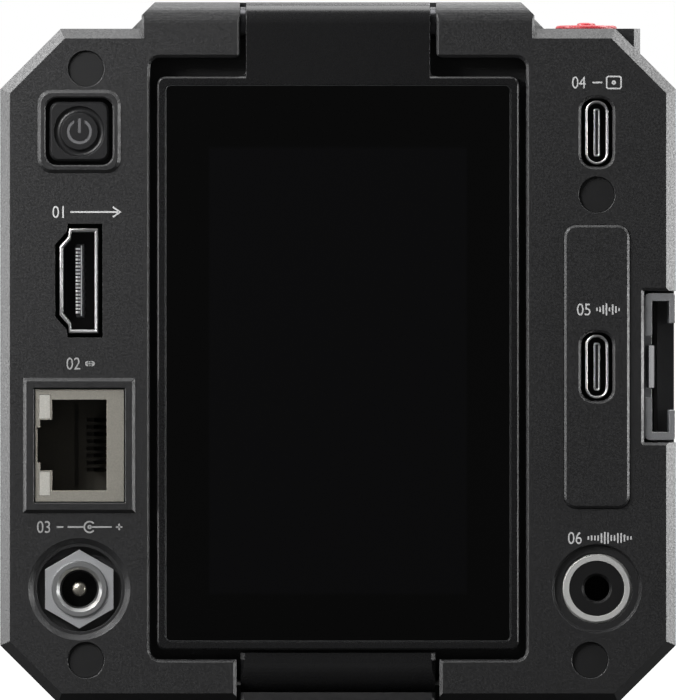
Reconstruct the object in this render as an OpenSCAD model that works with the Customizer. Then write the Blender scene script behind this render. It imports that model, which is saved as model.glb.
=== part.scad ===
// Box-shaped live streaming camera with a flip-up rear screen.
// Millimetres, +Z up. The rear face looks towards -Y and the lens mount towards +Y.
// The origin is the mouth of the tripod thread in the foot's underside.

/* [Body] */
// Width of the body across its sides
body_w = 96; // [92:0.5:112]
// Height of the body without foot and hinge
body_h = 95.8; // [94:0.2:112]
// Depth of the body from rear face to front face
body_d = 68; // [66:1:90]
// Height of the body's underside above the foot's underside
body_lift = 3.8; // [3:0.1:5]
// Slanted cut at the two top corners
top_cut = 8.6; // [6:0.2:9.4]
// Slanted cut at the two lower corners
low_cut = 8.2; // [6:0.2:9]
// Bevel round the rear and front edges
edge_bevel = 1.4; // [0.6:0.1:2]
// Thickness of the casing's side walls
wall = 2.4; // [2:0.1:2.8]
// Thickness of the rear and front walls
face_wall = 3; // [2.6:0.1:3.4]
// Depth of the rear cover
rear_cover_d = 20; // [19:0.5:22]
// Depth of the front cover
front_cover_d = 12; // [11:0.5:14]

/* [Screen] */
// Land between the network socket's frame and the screen's bay
bay_land = 2.1; // [1.6:0.1:4]
// Height of the bay's lower edge above the body's underside
bay_low = 6.2; // [5.4:0.2:8]
// Drop of the bay's upper edge below the body's top
bay_drop = 4.1; // [3.6:0.1:5]
// Corner radius of the bay
bay_corner = 1.4; // [0.6:0.1:2]
// Thickness of the bay's side walls and floor
bay_wall = 1.6; // [1.2:0.1:1.8]
// Gap between the screen and the bay's sides
screen_side_gap = 1; // [0.6:0.1:1.6]
// Gap under the screen
screen_low_gap = 1.36; // [1.1:0.02:2]
// Gap above the screen's frame
screen_top_gap = 2.7; // [2.4:0.1:3.4]
// Gap between the screen's back and the bay's floor
screen_back_gap = 0.4; // [0.3:0.1:0.8]
// Corner radius of the screen's frame
screen_corner = 1.15; // [0.8:0.05:2]
// Width of the metal rim round the glass
screen_rim = 1.2; // [1:0.1:1.6]
// Thickness of the cover glass
glass_t = 0.9; // [0.6:0.1:1.1]
// Thickness of the screen's back plate
screen_back_t = 1; // [0.8:0.1:1.2]
// Dark border between the glass's side edges and the picture area
picture_side = 6.25; // [3:0.25:9]
// Dark border below the picture area
picture_low = 5.94; // [3:0.02:10]
// Dark border above the picture area
picture_top = 8.1; // [3:0.1:12]
// Radius of the hinge barrel, half the screen's thickness
hinge_r = 3; // [2.8:0.1:3.4]
// Height of the hinge axis above the body's top
hinge_rise = 0.8; // [0.4:0.1:1.2]
// Radius of the hinge shafts
shaft_r = 1.2; // [1:0.1:1.5]
// Width of the arm between frame and hinge
arm_w = 26.1; // [22:0.1:30]
// Gap between the arm and each knuckle
knuckle_gap = 0.9; // [0.6:0.1:1.2]
// How far each knuckle reaches past the bay's side
knuckle_lap = 1.2; // [0.6:0.1:2]
// Width of the notch under the screen
notch_w = 28.8; // [26:0.2:32]

/* [Left ports] */
// Land between the body's side and the network socket's frame
side_land = 3.3; // [3:0.1:5]
// Land between the top edge and the upper left screw cover
cover_land = 3.2; // [2.6:0.1:5]
// Gap between the upper left screw cover and the power button's rim
power_gap = 0.5; // [0.4:0.1:2]
// Gap between the power button's rim and the video socket's cutout
video_gap = 7.225; // [5:0.025:9]
// Gap between the video socket's cutout and the network socket's frame
lan_gap = 5.75; // [4:0.05:8]
// Gap between the network socket's frame and the power inlet's recess
dc_gap = 3.575; // [2:0.025:6]
// Gap between the power inlet's recess and the lower left screw cover
low_gap = 0.35; // [0.3:0.05:2]
// Land between the lower screw covers and the bottom edge
low_land = 3.6; // [2.6:0.1:5]
// Width and height of the power button's raised rim
power_rim = 11.8; // [11.4:0.1:13]
// Width and height of the power button's cap
power_cap = 8.4; // [7.6:0.1:9]
// Width of the network socket's metal face
lan_w = 12.6; // [12.4:0.1:13]
// Height of the network socket's metal face
lan_h = 15.95; // [15.8:0.05:16.4]
// Radius of the power inlet's threaded sleeve
dc_sleeve_r = 3.9; // [3.6:0.1:4.2]
// Radius of the power inlet's hole
dc_hole_r = 2.75; // [2.5:0.05:2.9]
// Radius of the power inlet's pin
dc_pin_r = 1; // [0.8:0.05:1.25]

/* [Right ports] */
// Land between the top edge and the upper small socket's cutout
usb_land = 9.525; // [7:0.025:12]
// Gap between the upper small socket's cutout and the right screw cover
side_cover_gap = 1.125; // [0.5:0.025:3]
// Gap between the right screw cover and the audio panel
panel_gap = 1.775; // [1:0.025:4]
// Gap between the audio panel and the audio socket's recess
aux_gap = 5.025; // [3:0.025:8]
// Gap between the audio socket's recess and the lower right screw cover
low_cover_gap = 1.35; // [0.5:0.05:3]
// Width of the small sockets' metal shells
usb_w = 3.3; // [3.2:0.05:3.5]
// Height of the small sockets' metal shells
usb_h = 9.1; // [8.9:0.05:9.3]
// Radius of the audio socket's hole
aux_hole_r = 1.8; // [1.75:0.05:1.9]
// Width of the raised audio panel
panel_w = 9.3; // [8.6:0.1:9.6]
// Height of the raised audio panel
panel_h = 40.25; // [38:0.25:42]

/* [Cold shoe] */
// Height of the shoe's middle above the body's underside
shoe_rise = 47.8; // [46:0.2:50]
// Clear width between the shoe's side flanges
shoe_slot_w = 18.66; // [18.6:0.02:18.8]
// Gap between the shoe's two lips
shoe_lip_gap = 12.4; // [12:0.1:13]
// Thickness of the shoe's sheet metal
shoe_t = 1.1; // [1:0.1:1.3]
// Clear height under the lips
shoe_slot_t = 2.45; // [2.1:0.05:2.5]
// Length of the shoe
shoe_len = 19; // [18:0.5:19]

/* [Buttons and fasteners] */
// Radius of the record button
record_r = 4.4; // [4:0.1:5]
// Distance of the record button from the body's right side
record_inset = 12.4; // [11.8:0.1:13]
// Gap between the rear cover's seam and the record button's deck
deck_rear_gap = 2; // [1:0.5:4]
// Gap between the record button's deck and the front cover's seam
deck_front_gap = 10; // [6:0.5:12]
// Travel of the power button
power_travel = 0.6; // [0.3:0.1:0.8]
// Travel of the record button
record_travel = 0.8; // [0.4:0.1:1]
// Travel of the lens release
release_travel = 1.5; // [1:0.1:2]
// Radius of the screws' shanks
screw_r = 1.2; // [1:0.1:1.3]
// Radius of the covers over the screws
cap_r = 2.5; // [2.4:0.1:2.8]

/* [Lens mount] */
// Radius of the free throat
throat_r = 19; // [18:0.5:20]
// Outer radius of the mount's ring
mount_r = 28; // [27:0.5:30]
// Thickness of the mount's ring
mount_t = 4.5; // [4:0.1:5]
// Distance from the flange back to the image sensor
flange_depth = 19.25; // [18.5:0.05:20]

/* [Foot and top rail] */
// Width of the foot
foot_w = 27.7; // [26:0.1:30]
// Radius of the thread's core hole
thread_r = 2.55; // [2.5:0.05:2.7]
// Outer radius of the threaded bushes
bush_r = 5; // [4.4:0.1:5.6]
// Radius of the hole that stops twisting
twist_r = 2.25; // [2.1:0.05:2.5]
// How far the top rail's base reaches past the knuckles
rail_lap = 1.5; // [1:0.1:3]

/* [Hidden] */
$fn = 64;

// Clearances that several fits share
fit = 0.05;
slip = 0.15;
overcut = 0.02;
slant_inset = 2 - sqrt(2);

// Main planes
y_rear = -body_d / 2;
y_front = body_d / 2;
y_seam = y_rear + rear_cover_d;
y_front_seam = y_front - front_cover_d;
y_rear_in = y_rear + face_wall;
y_front_in = y_front - face_wall;
z_low = body_lift;
z_top = body_lift + body_h;
half_w = body_w / 2;
lens_z = z_low + body_h / 2;
mouth_bevel = 0.4;

// Columns of sockets beside the screen's bay
lan_frame_w = lan_w + 3.3;
lan_frame_h = lan_h + 3.2;
lan_frame_r = 0.1;
port_inset = side_land + lan_frame_w / 2;
left_x = -(half_w - port_inset);
right_x = half_w - port_inset;
bay_w = body_w - 2 * (port_inset + lan_frame_w / 2 + bay_land);
video_hole_h = 16.15;
usb_slot_gap = 0.55;
dc_mouth_r = 7.25;
aux_recess_r = 6.05;
aux_bevel = 0.6;
left_row = [2 * cap_r, power_rim, video_hole_h, lan_frame_h, 2 * dc_mouth_r, 2 * cap_r];
left_gaps = [cover_land, power_gap, video_gap, lan_gap, dc_gap, low_gap, low_land];
right_row = [usb_h + usb_slot_gap + 2 * mouth_bevel, 2 * cap_r, panel_h,
  2 * aux_recess_r + aux_bevel, 2 * cap_r];
right_gaps = [usb_land, side_cover_gap, panel_gap, aux_gap, low_cover_gap, low_land];

// Hinge and screen
hinge_y = y_rear + hinge_r;
hinge_z = z_top + hinge_rise;
screen_y = [y_rear, y_rear + 2 * hinge_r];
y_bay = screen_y[1] + screen_back_gap;
y_bay_back = y_bay + bay_wall;
bay_z = [z_low + bay_low, z_top - bay_drop];
screen_x = about(0, bay_w - 2 * screen_side_gap);
screen_z = [bay_z[0] + screen_low_gap, bay_z[1] - screen_top_gap];
glass_x = grown(screen_x, -screen_rim);
glass_z = grown(screen_z, -screen_rim);
y_glass_back = y_rear + fit + glass_t;
picture_t = 1.8;
picture_border = 1.2;
picture_w = glass_x[1] - glass_x[0] - 2 * picture_side;
picture_h = glass_z[1] - glass_z[0] - picture_low - picture_top;
picture_z = glass_z[0] + picture_low + picture_h / 2;
y_screen_cover = screen_y[1] - screen_back_t;
screen_ledge = 1.6;
arm_x = about(0, arm_w);
arm_fillet = 0.9;
knuckle_in = arm_w / 2 + knuckle_gap;
knuckle_x = [knuckle_in, bay_w / 2 + knuckle_lap];
knuckle_chamfer = 1.9;
knuckle_corner = 0.85;
edge_line = 0.35;
knuckle_top = hinge_z + hinge_r;
shaft_in = 7;
shaft_out = knuckle_x[1] - 3;
screen_screw_inset = 1.9;

// Raised rims on the rear face
raise = 0.5;
raise_bevel = 0.45;
y_raised = y_rear - raise;

// Boards behind the rear wall
board_t = 1.6;
y_port_board = y_seam - 3.6;
y_port_back = y_port_board + board_t;
y_main = y_seam + 6;
y_main_front = y_main + board_t;
left_board_x = [-(half_w - wall - 0.4), -(bay_w / 2 + bay_wall + 0.4)];
right_board_x = [bay_w / 2 + bay_wall + 0.4, half_w - 7.4];
port_board_z = [z_low + 10.4, z_top - 10.4];
standoff_r = 1.8;
standoff_hole_r = 0.85;
standoff_side = 6;
small_screw_len = 5;
small_head_r = 1.6;
small_head_t = 1;
small_hole_d = small_screw_len + 1;
link_w = 4;
link_h = 19;
link_inset = 3;

// Power button
power_z = row_z(left_row, left_gaps, 1);
power_hole = power_cap + 1.15;
y_power_face = y_raised + 0.2;
power_flange = 1;
power_flange_w = power_hole + 1.4;
switch_w = 6;
switch_h = 3.5;
switch_knob_r = 1.6;
switch_knob_h = 1.8;
dish_r = 3.1;
dish_tube = 0.5;

// Video socket outline, drawn with its wide side to the right
video_z = row_z(left_row, left_gaps, 2);
video_wall = 0.5;
video_w = 5.5;
video_h = 14.9;
video_slot = (video_hole_h - video_h) / 2;
video_bevel = 0.3;
video_tongue_w = 1.1;
video_tongue_h = 10.4;

// Network socket
lan_z = row_z(left_row, left_gaps, 3);
lan_x = about(left_x + 0.05, lan_w);
y_lan_face = y_raised + 0.45;
lan_open_x = [lan_x[0] + 2.4, lan_x[1] - 2.45];
lan_open_z = about(lan_z + 0.05, 12.9);
lan_step_x = [lan_x[0] + 0.7, lan_open_x[0] + overcut];
lan_step_z = about(lan_z + 0.05, 7.2);
lan_latch_x = [lan_x[0] + 0.25, lan_step_x[0] + overcut];
lan_latch_z = about(lan_z + 0.05, 5);
lan_depth = 12.5;
lan_pitch = 1.016;
lan_wires = 8;
lan_wire_t = 0.45;
lan_wire_reach = 1.9;
lan_slot_reach = 2.95;
lan_slot_d = 1.2;
lan_groove_x = [lan_open_x[0] + 3.05, lan_open_x[0] + 3.6];
lan_light_x = [lan_x[0] + 0.6, lan_x[0] + 2.1];
lan_light_h = 3.4;
lan_light_gap = 4.15;

// Power inlet
dc_z = row_z(left_row, left_gaps, 4);
dc_recess_r = 6.05;
dc_step_r = 6.5;
dc_floor_y = y_rear + 2.6;
dc_floor_t = 2.4;
dc_nut_t = 1.6;
dc_nut_flats = 9.7;
dc_depth = 9.5;
dc_flange_r = 5.4;
dc_root_r = dc_pin_r - 0.3;

// Small sockets
upper_usb_z = row_z(right_row, right_gaps, 0);
lower_usb_z = row_z(right_row, right_gaps, 2);
usb_wall = 0.35;
usb_tongue_w = 0.7;
usb_tongue_h = 6.7;
y_usb_face = y_rear + 0.35;

// Audio socket
aux_z = row_z(right_row, right_gaps, 3);
aux_ring_r = 5;
aux_body_r = 3.88;
y_aux_ring = y_rear + 0.7;
aux_ring_t = 1.2;
aux_floor_y = y_aux_ring + aux_ring_t;
aux_depth = 14;

// Raised audio panel
panel_x = about(right_x, panel_w);
panel_z = about(lower_usb_z, panel_h);
panel_r = 1.7;
panel_seat = 1;

// Cold shoe in its pocket on the right side
shoe_z = z_low + shoe_rise;
shoe_outer_w = shoe_slot_w + 2 * shoe_t;
shoe_gap = 0.35;
shoe_out = half_w - 0.15;
shoe_lip_in = shoe_out - 0.8;
shoe_base_out = shoe_lip_in - shoe_slot_t;
shoe_base_in = shoe_base_out - shoe_t;
pocket_x = shoe_base_in - fit;
pocket_z = about(shoe_z, shoe_outer_w + 2 * shoe_gap);
pocket_wall = 2.2;
shoe_screw_r = 0.75;
shoe_head_r = 1.6;
shoe_head_t = 0.45;
shoe_screw_side = 6.6;
shoe_y = [y_seam - 0.2 - shoe_len, y_seam - 0.2];
shoe_bend = 0.8;
shoe_notch_h = 8.75;
shoe_notch_d = 3;
spring_t = 0.3;
spring_w = 6;
spring_y = [shoe_y[0] + 0.4, shoe_y[1] - 6];
spring_sink = 0.75;
spring_up = 0.4;

// Screws
screw_clear = 0.2;
head_r = 2.2;
head_t = 1.7;
cap_recess = 0.5;
cap_t = 0.6;
y_cap = y_rear + cap_recess;
y_head = y_cap + cap_t + 0.1;
boss_r = 3.8;
cap_edge = 0.15;
boss_web_t = 4;
boss_web_y = [y_seam, y_main - 1.2];
cap_inset = 12.2;
cover_screw_at = [
  [-(half_w - cap_inset), row_z(left_row, left_gaps, 0)],
  [-(half_w - cap_inset), row_z(left_row, left_gaps, 5)],
  [half_w - cap_inset, row_z(right_row, right_gaps, 4)],
  [right_x, row_z(right_row, right_gaps, 1)]
];
left_standoffs = [[left_x - standoff_side, video_z], [left_x + standoff_side, video_z],
  [left_x + standoff_side, dc_z + 5.5]];
right_standoffs = [[right_x, lower_usb_z + 14.4], [right_x, lower_usb_z - 17.4]];
cover_screw_end = y_seam + 6.5;
post_in = 6;
post_at = [for (sx = [-1, 1], z = [z_low + 18.2, z_top - 17.6]) [sx * (half_w - post_in), z]];
front_screw_end = y_front_seam - 8;

// Record button and its deck
record_x = half_w - record_inset;
deck_x = [record_x - 5.9, half_w - 4.8];
deck_y = [y_seam + deck_rear_gap, y_front_seam - deck_front_gap];
record_y = mid(deck_y);
deck_up = 0.3;
deck_z = [z_top - 9.6, z_top + deck_up];
deck_chamfer = 0.9;
deck_roof = 2.6;
deck_wall = 1.3;
record_up = 0.9;
record_dish = 0.25;
record_nub_r = 1.5;
record_nub_up = 1.3;
record_flange_r = record_r + 0.6;
record_flange_t = 1;
button_board_t = 1;

// Foot, rail and finger roll
foot_y = [y_rear + 0.6, y_front - 6];
foot_plate_t = body_lift;
foot_step_z = z_low + 1.5;
foot_bevel = 0.5;
pad_t = 1;
pad_w = 5;
pad_edge = 2;
twist_y = 13.5;
bush_h = 8.5;
rail_w = 2 * (knuckle_x[1] + rail_lap);
rail_y = [y_bay + overcut, y_front_seam - 2];
rail_t = knuckle_top - z_top;
rail_corner = 1.6;
roll_r = 4.5;
roll_y = y_rear + 0.6;
roll_z = [foot_step_z + 0.1, screen_z[0] - 0.4];
roll_flat = 1.5;
roll_chamfer = 0.6;
rail_screw_at = [for (sx = [-1, 1], y = [y_seam + 5, rail_y[1] - 5]) [sx * rail_w / 3.4, y]];
foot_screw_at = [for (sx = [-1, 1], y = [y_seam + 4, y_front_seam - 6]) [sx * foot_w / 3.6, y]];

// Lens mount, sensor and heat sink
y_flange = y_front + mount_t;
y_sensor = y_flange - flange_depth;
sensor_t = 2.2;
package_w = 25;
package_h = 20;
sensor_w = 19;
sensor_h = 14.6;
sensor_board_t = 1.4;
y_sensor_board = y_sensor - sensor_t - sensor_board_t;
claw_t = 1.2;
claw_reach = 2.2;
claw_angle = 50;
cover_bore_r = throat_r + 1;
sensor_post_at = [for (sx = [-1, 1], sz = [-1, 1]) [sx * (throat_r + 4), lens_z + sz * 13]];
sensor_post_r = 2.2;
sensor_board_h = 33;
sensor_board_edge = 7;
mount_screw_r = 1;
mount_head_r = 1.7;
mount_head_t = 1;
mount_head_sink = 1.2;
mount_screw_at = [for (a = [45:90:315]) (mount_r - 3.4) * [cos(a), sin(a)] + [0, lens_z]];
release_x = mount_r + 5.5;
release_r = 3.4;
release_up = release_travel + 1;
lock_pin_x = mount_r - 2.8;
lock_pin_r = 1.1;
lock_pin_up = release_travel - 0.7;
plate_t = 1.4;
processor_t = 2;
processor_w = 21;
board_side_gap = 0.8;
main_board_x = about(0, body_w - 2 * (wall + board_side_gap));
main_board_z = [z_low + 11.6, z_top - 11.2];
sink_base_t = 2;
sink_w = 52;
sink_h = 46;
sink_fins = 9;
sink_fin_t = 1.2;
y_sink = y_main_front + processor_t;
y_sink_end = y_sensor_board - 4;

// Spans of a given width about a middle, and spans grown at both ends
function about(c, w) = [c - w / 2, c + w / 2];
function grown(s, g) = [s[0] - g, s[1] + g];
function mid(s) = (s[0] + s[1]) / 2;

// Height of a row's middle: each piece keeps its size, and the gaps share what is left of the body
function total(v, n) = n == 0 ? 0 : v[n - 1] + total(v, n - 1);
function row_z(row, gaps, i) = let (share = (body_h - total(row, len(row))) / total(gaps, len(gaps)))
  z_top - total(row, i) - row[i] / 2 - share * total(gaps, i + 1);
function arc(c, r, a0, a1, n) = [for (i = [0:n]) let (a = a0 + (a1 - a0) * i / n) c + r * [cos(a), sin(a)]];
function round_rect(x, z, r, n = 5) = concat(
  arc([x[1] - r, z[0] + r], r, -90, 0, n), arc([x[1] - r, z[1] - r], r, 0, 90, n),
  arc([x[0] + r, z[1] - r], r, 90, 180, n), arc([x[0] + r, z[0] + r], r, 180, 270, n));
function swelled(x, z, r, g) = round_rect(grown(x, g), grown(z, g), r + g);

// Outline of the body with cut corners, drawn in by t
function body_outline(t) = let (
    w = half_w - t, z0 = z_low + t, z1 = z_top - t,
    ct = top_cut - slant_inset * t, cl = low_cut - slant_inset * t
  ) [[-w + cl, z0], [w - cl, z0], [w, z0 + cl], [w, z1 - ct],
     [w - ct, z1], [-w + ct, z1], [-w, z1 - ct], [-w, z0 + cl]];

// Outline of the video socket, drawn in by t
function video_outline(t) = let (
    x0 = left_x - 0.05 - video_w / 2 + t, x1 = left_x - 0.05 + video_w / 2 - t,
    z0 = video_z - video_h / 2 + t, z1 = video_z + video_h / 2 - t,
    k = t * slant_inset, s = 1.4 - k, c = 1.5 - k
  ) [[x0 + s, z0], [x1, z0], [x1, z1], [x0 + s, z1],
     [x0 + s - 0.1, z1 - 1.1], [x0, z1 - 1.1 - c], [x0, z0 + 1.1 + c], [x0 + s - 0.1, z0 + 1.1]];

module block(x, y, z) {
  translate([x[0], y[0], z[0]]) cube([x[1] - x[0], y[1] - y[0], z[1] - z[0]]);
}
module rod_x(y, z, r, x) {
  translate([x[0], y, z]) rotate([0, 90, 0]) cylinder(r = r, h = x[1] - x[0]);
}
module rod_y(x, z, r, y) {
  translate([x, y[0], z]) rotate([-90, 0, 0]) cylinder(r = r, h = y[1] - y[0]);
}
module cone_y(x, z, r0, r1, y) {
  translate([x, y[0], z]) rotate([-90, 0, 0]) cylinder(r1 = r0, r2 = r1, h = y[1] - y[0]);
}
module rod_z(x, y, r, z) {
  translate([x, y, z[0]]) cylinder(r = r, h = z[1] - z[0]);
}
module slab_x(points, x) {
  translate([x[0], 0, 0]) rotate([90, 0, 90]) linear_extrude(x[1] - x[0]) polygon(points);
}
module slab_y(points, y) {
  translate([0, y[1], 0]) rotate([90, 0, 0]) linear_extrude(y[1] - y[0]) polygon(points);
}
module slab_z(points, z) {
  translate([0, 0, z[0]]) linear_extrude(z[1] - z[0]) polygon(points);
}

// Fills the inside corner between an edge at x and an edge at z with a radius
module corner_fill(x, z, r, y) {
  slab_y(concat([[x - 1, z - 0.5], [x + r, z - 0.5]], arc([x + r, z + r], r, 270, 180, 5),
    [[x - 1, z + r]]), y);
}

// Closed solid through outlines of equal length, each given as [y, points]
module loft_y(layers) {
  n = len(layers[0][1]);
  last = len(layers) - 1;
  polyhedron(
    points = [for (l = layers) for (p = l[1]) [p[0], l[0], p[1]]],
    faces = concat(
      [[for (i = [n - 1:-1:0]) i]], [[for (i = [0:n - 1]) last * n + i]],
      [for (k = [0:last - 1], i = [0:n - 1]) let (j = (i + 1) % n) [k * n + i, k * n + j, k * n + n + j]],
      [for (k = [0:last - 1], i = [0:n - 1]) let (j = (i + 1) % n) [k * n + i, k * n + n + j, k * n + n + i]]
    )
  );
}

// Rounded hole through a wall, with a bevelled mouth at the face y[0]
module bevelled_hole(x, z, r, y, bevel) {
  slab_y(round_rect(x, z, r), grown(y, overcut));
  loft_y([[y[0] - overcut, swelled(x, z, r, bevel + overcut)], [y[0] + bevel, round_rect(x, z, r)]]);
}

// Rounded pad that rises towards the rear, with a bevelled edge
module raised_pad(x, z, r, y, bevel) {
  full = round_rect(x, z, r);
  loft_y([[y[0], swelled(x, z, r, -bevel)], [y[0] + bevel, full], [y[1], full]]);
}

// Cuts the bevel along each side of an outline, at a face that looks to -Y or +Y
module edge_cuts(points, y, bevel, side) {
  n = len(points);
  for (i = [0:n - 1]) {
    p = points[i];
    d = points[(i + 1) % n] - p;
    translate([p[0], y, p[1]]) rotate([0, -atan2(d[1], d[0]), 0]) scale([1, side, 1])
      slab_x([[-1, -1], [bevel + 1, -1], [-1, bevel + 1]], [-2 * bevel, norm(d) + 2 * bevel]);
  }
}

// Screw that points to +Y or -Y from its head's seat
module screw_y(at, seat, end, r, head, thick) {
  back = seat < end ? -1 : 1;
  rod_y(at[0], at[1], r, [min(seat, end), max(seat, end)]);
  difference() {
    rod_y(at[0], at[1], head, [min(seat, seat + back * thick), max(seat, seat + back * thick)]);
    hex_y(at, r * 0.9, seat + back * thick, -back * thick * 0.6);
  }
}
module hex_y(at, r, y, depth) {
  translate([at[0], y - sign(depth) * overcut, at[1]]) rotate([depth > 0 ? -90 : 90, 0, 0])
    cylinder(r = r, h = abs(depth), $fn = 6);
}

// Rear cover with the screen's bay, the knuckles and all port openings
module bay_box() {
  block(about(0, bay_w + 2 * bay_wall), [y_rear_in - 1, y_bay_back], [bay_z[0] - bay_wall, z_top - 1]);
}
module knuckle() {
  section = concat([[y_rear, bay_z[1]], [y_bay, bay_z[1]], [y_bay, knuckle_top]],
    arc([hinge_y, hinge_z], hinge_r, 90, 180, 12));
  difference() {
    slab_x(section, knuckle_x);
    translate([knuckle_x[1], y_rear, 0]) rotate([0, 0, 45])
      block(about(0, 1.4 * edge_line), about(0, 1.4 * edge_line), [z_top - edge_bevel, knuckle_top + 1]);
    slab_y([[knuckle_x[1] - knuckle_chamfer - 1, knuckle_top + 1], [knuckle_x[1] + 1, knuckle_top + 1],
      [knuckle_x[1] + 1, knuckle_top - knuckle_chamfer - 1]], [y_rear - 1, y_bay + 1]);
  }
}
module shoe_pocket_walls() {
  block([pocket_x - pocket_wall, half_w - wall / 2], [y_rear_in - 1, y_seam], grown(pocket_z, pocket_wall));
}
module lan_frame() {
  x = about(left_x, lan_frame_w);
  z = about(lan_z, lan_frame_h);
  outline = round_rect(x, z, lan_frame_r);
  loft_y([[y_raised, round_rect(grown(x, -raise_bevel), grown(z, -raise_bevel), lan_frame_r)],
    [y_raised + raise_bevel, outline], [y_rear_in, outline]]);
}
module rear_additions() {
  bay_box();
  knuckle();
  mirror([1, 0, 0]) knuckle();
  shoe_pocket_walls();
  raised_pad(about(left_x, power_rim), about(power_z, power_rim), 2, [y_raised, y_rear_in], raise_bevel);
  lan_frame();
  rod_y(left_x, dc_z, dc_recess_r + 1.2, [y_rear_in - 1, dc_floor_y + dc_floor_t]);
  for (p = cover_screw_at) rod_y(p[0], p[1], boss_r, [y_rear_in - 1, y_seam]);
  for (p = concat(left_standoffs, right_standoffs))
    rod_y(p[0], p[1], standoff_r, [y_rear_in - 1, y_port_board]);
}
module bay_cut() {
  for (sx = [0, 1]) mirror([sx, 0, 0])
    corner_fill(knuckle_in, bay_z[1], knuckle_corner, [y_rear - 1, y_bay - overcut]);
  for (sx = [-1, 1]) translate([sx * knuckle_in, y_rear, 0]) rotate([0, 0, 45])
    block(about(0, 1.4 * edge_line), about(0, 1.4 * edge_line), [bay_z[1], knuckle_top + 1]);
  bevelled_hole(about(0, bay_w), bay_z, bay_corner, [y_rear, y_bay - overcut], mouth_bevel);
  block(about(0, 2 * knuckle_in), [y_rear - 1, y_bay], [bay_z[1] - bay_corner, z_top + 1]);
  block(about(0, notch_w), [y_rear - 1, y_bay], [z_low - 1, bay_z[0] + bay_corner]);
  for (sx = [-1, 1]) translate([sx * notch_w / 2, y_rear, 0]) rotate([0, 0, 45])
    block(about(0, 1.4 * foot_bevel), about(0, 1.4 * foot_bevel), [z_low - 1, bay_z[0]]);
  rod_x(hinge_y, hinge_z, shaft_r + fit, [-shaft_out - fit, shaft_out + fit]);
}
module left_port_cuts() {
  bevelled_hole(about(left_x, power_hole), about(power_z, power_hole), 1.6, [y_raised, y_rear_in], 0.2);
  block(about(left_x, power_flange_w + 2 * slip),
    [y_rear_in, y_rear_in + power_flange + power_travel + slip], about(power_z, power_flange_w + 2 * slip));
  slab_y(video_outline(-video_slot), [y_rear - overcut, y_rear_in + overcut]);
  loft_y([[y_rear - overcut, video_outline(-video_slot - video_bevel - overcut)],
    [y_rear + video_bevel, video_outline(-video_slot)]]);
  bevelled_hole(grown(lan_x, slip), about(lan_z, lan_h + 2 * slip), 0.1, [y_raised, y_rear_in], 0.1);
  cone_y(left_x, dc_z, dc_mouth_r + overcut, dc_step_r, [y_rear - overcut, y_rear + 0.75]);
  rod_y(left_x, dc_z, dc_recess_r, [y_rear, dc_floor_y]);
  rod_y(left_x, dc_z, dc_sleeve_r + slip, [y_rear, y_port_board]);
}
module right_port_cuts() {
  bevelled_hole(about(right_x, usb_w + 2 * usb_slot_gap), about(upper_usb_z, usb_h + usb_slot_gap),
    usb_w / 2, [y_rear, y_rear_in], mouth_bevel);
  slab_y(round_rect(about(right_x, usb_w + 2 * slip), about(upper_usb_z, usb_h + 2 * slip), usb_w / 2),
    [y_rear, y_port_board]);
  slab_y(swelled(panel_x, panel_z, panel_r, fit), [y_rear - 1, y_rear + panel_seat]);
  slab_y(round_rect(about(right_x, usb_w + 2 * usb_slot_gap), about(lower_usb_z, usb_h + usb_slot_gap),
    usb_w / 2), [y_rear, y_rear_in + 1]);
  cone_y(right_x, aux_z, aux_recess_r + aux_bevel / 2, aux_recess_r, [y_rear - overcut, y_rear + aux_bevel]);
  rod_y(right_x, aux_z, aux_recess_r, [y_rear, y_rear + aux_bevel + 0.1]);
  rod_y(right_x, aux_z, aux_ring_r + fit, [y_rear, aux_floor_y]);
  rod_y(right_x, aux_z, aux_body_r + slip, [y_rear, y_rear_in + 1]);
}
module shoe_pocket_cut() {
  block([pocket_x, half_w + 1], [y_rear - 1, y_seam + 1], pocket_z);
  pocket_mouth = about((pocket_x + half_w + 4) / 2, half_w + 4 - pocket_x);
  loft_y([[y_rear - overcut, swelled(pocket_mouth, pocket_z, 0.1, mouth_bevel + overcut)],
    [y_rear + mouth_bevel, round_rect(pocket_mouth, pocket_z, 0.1)]]);
  for (p = shoe_screw_at()) rod_x(p[0], p[1], shoe_screw_r + fit,
    [pocket_x - pocket_wall - 1, pocket_x + 1]);
}
module rear_screw_cuts() {
  for (p = cover_screw_at) {
    rod_y(p[0], p[1], cap_r + fit, [y_rear - 1, y_head + head_t]);
    cone_y(p[0], p[1], cap_r + cap_edge, cap_r, [y_rear - overcut, y_rear + cap_edge]);
    rod_y(p[0], p[1], screw_r + screw_clear, [y_rear, y_seam + 1]);
  }
  for (p = concat(left_standoffs, right_standoffs))
    rod_y(p[0], p[1], standoff_hole_r, [y_port_board - small_hole_d, y_port_board + 1]);
}
module rear_cover() {
  color("#2a2a2a") difference() {
    union() {
      difference() {
        slab_y(body_outline(0), [y_rear, y_seam]);
        edge_cuts(body_outline(0), y_rear, edge_bevel, 1);
        slab_y(body_outline(wall), [y_rear_in, y_seam + 1]);
      }
      rear_additions();
    }
    bay_cut();
    left_port_cuts();
    right_port_cuts();
    shoe_pocket_cut();
    rear_screw_cuts();
  }
}

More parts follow.
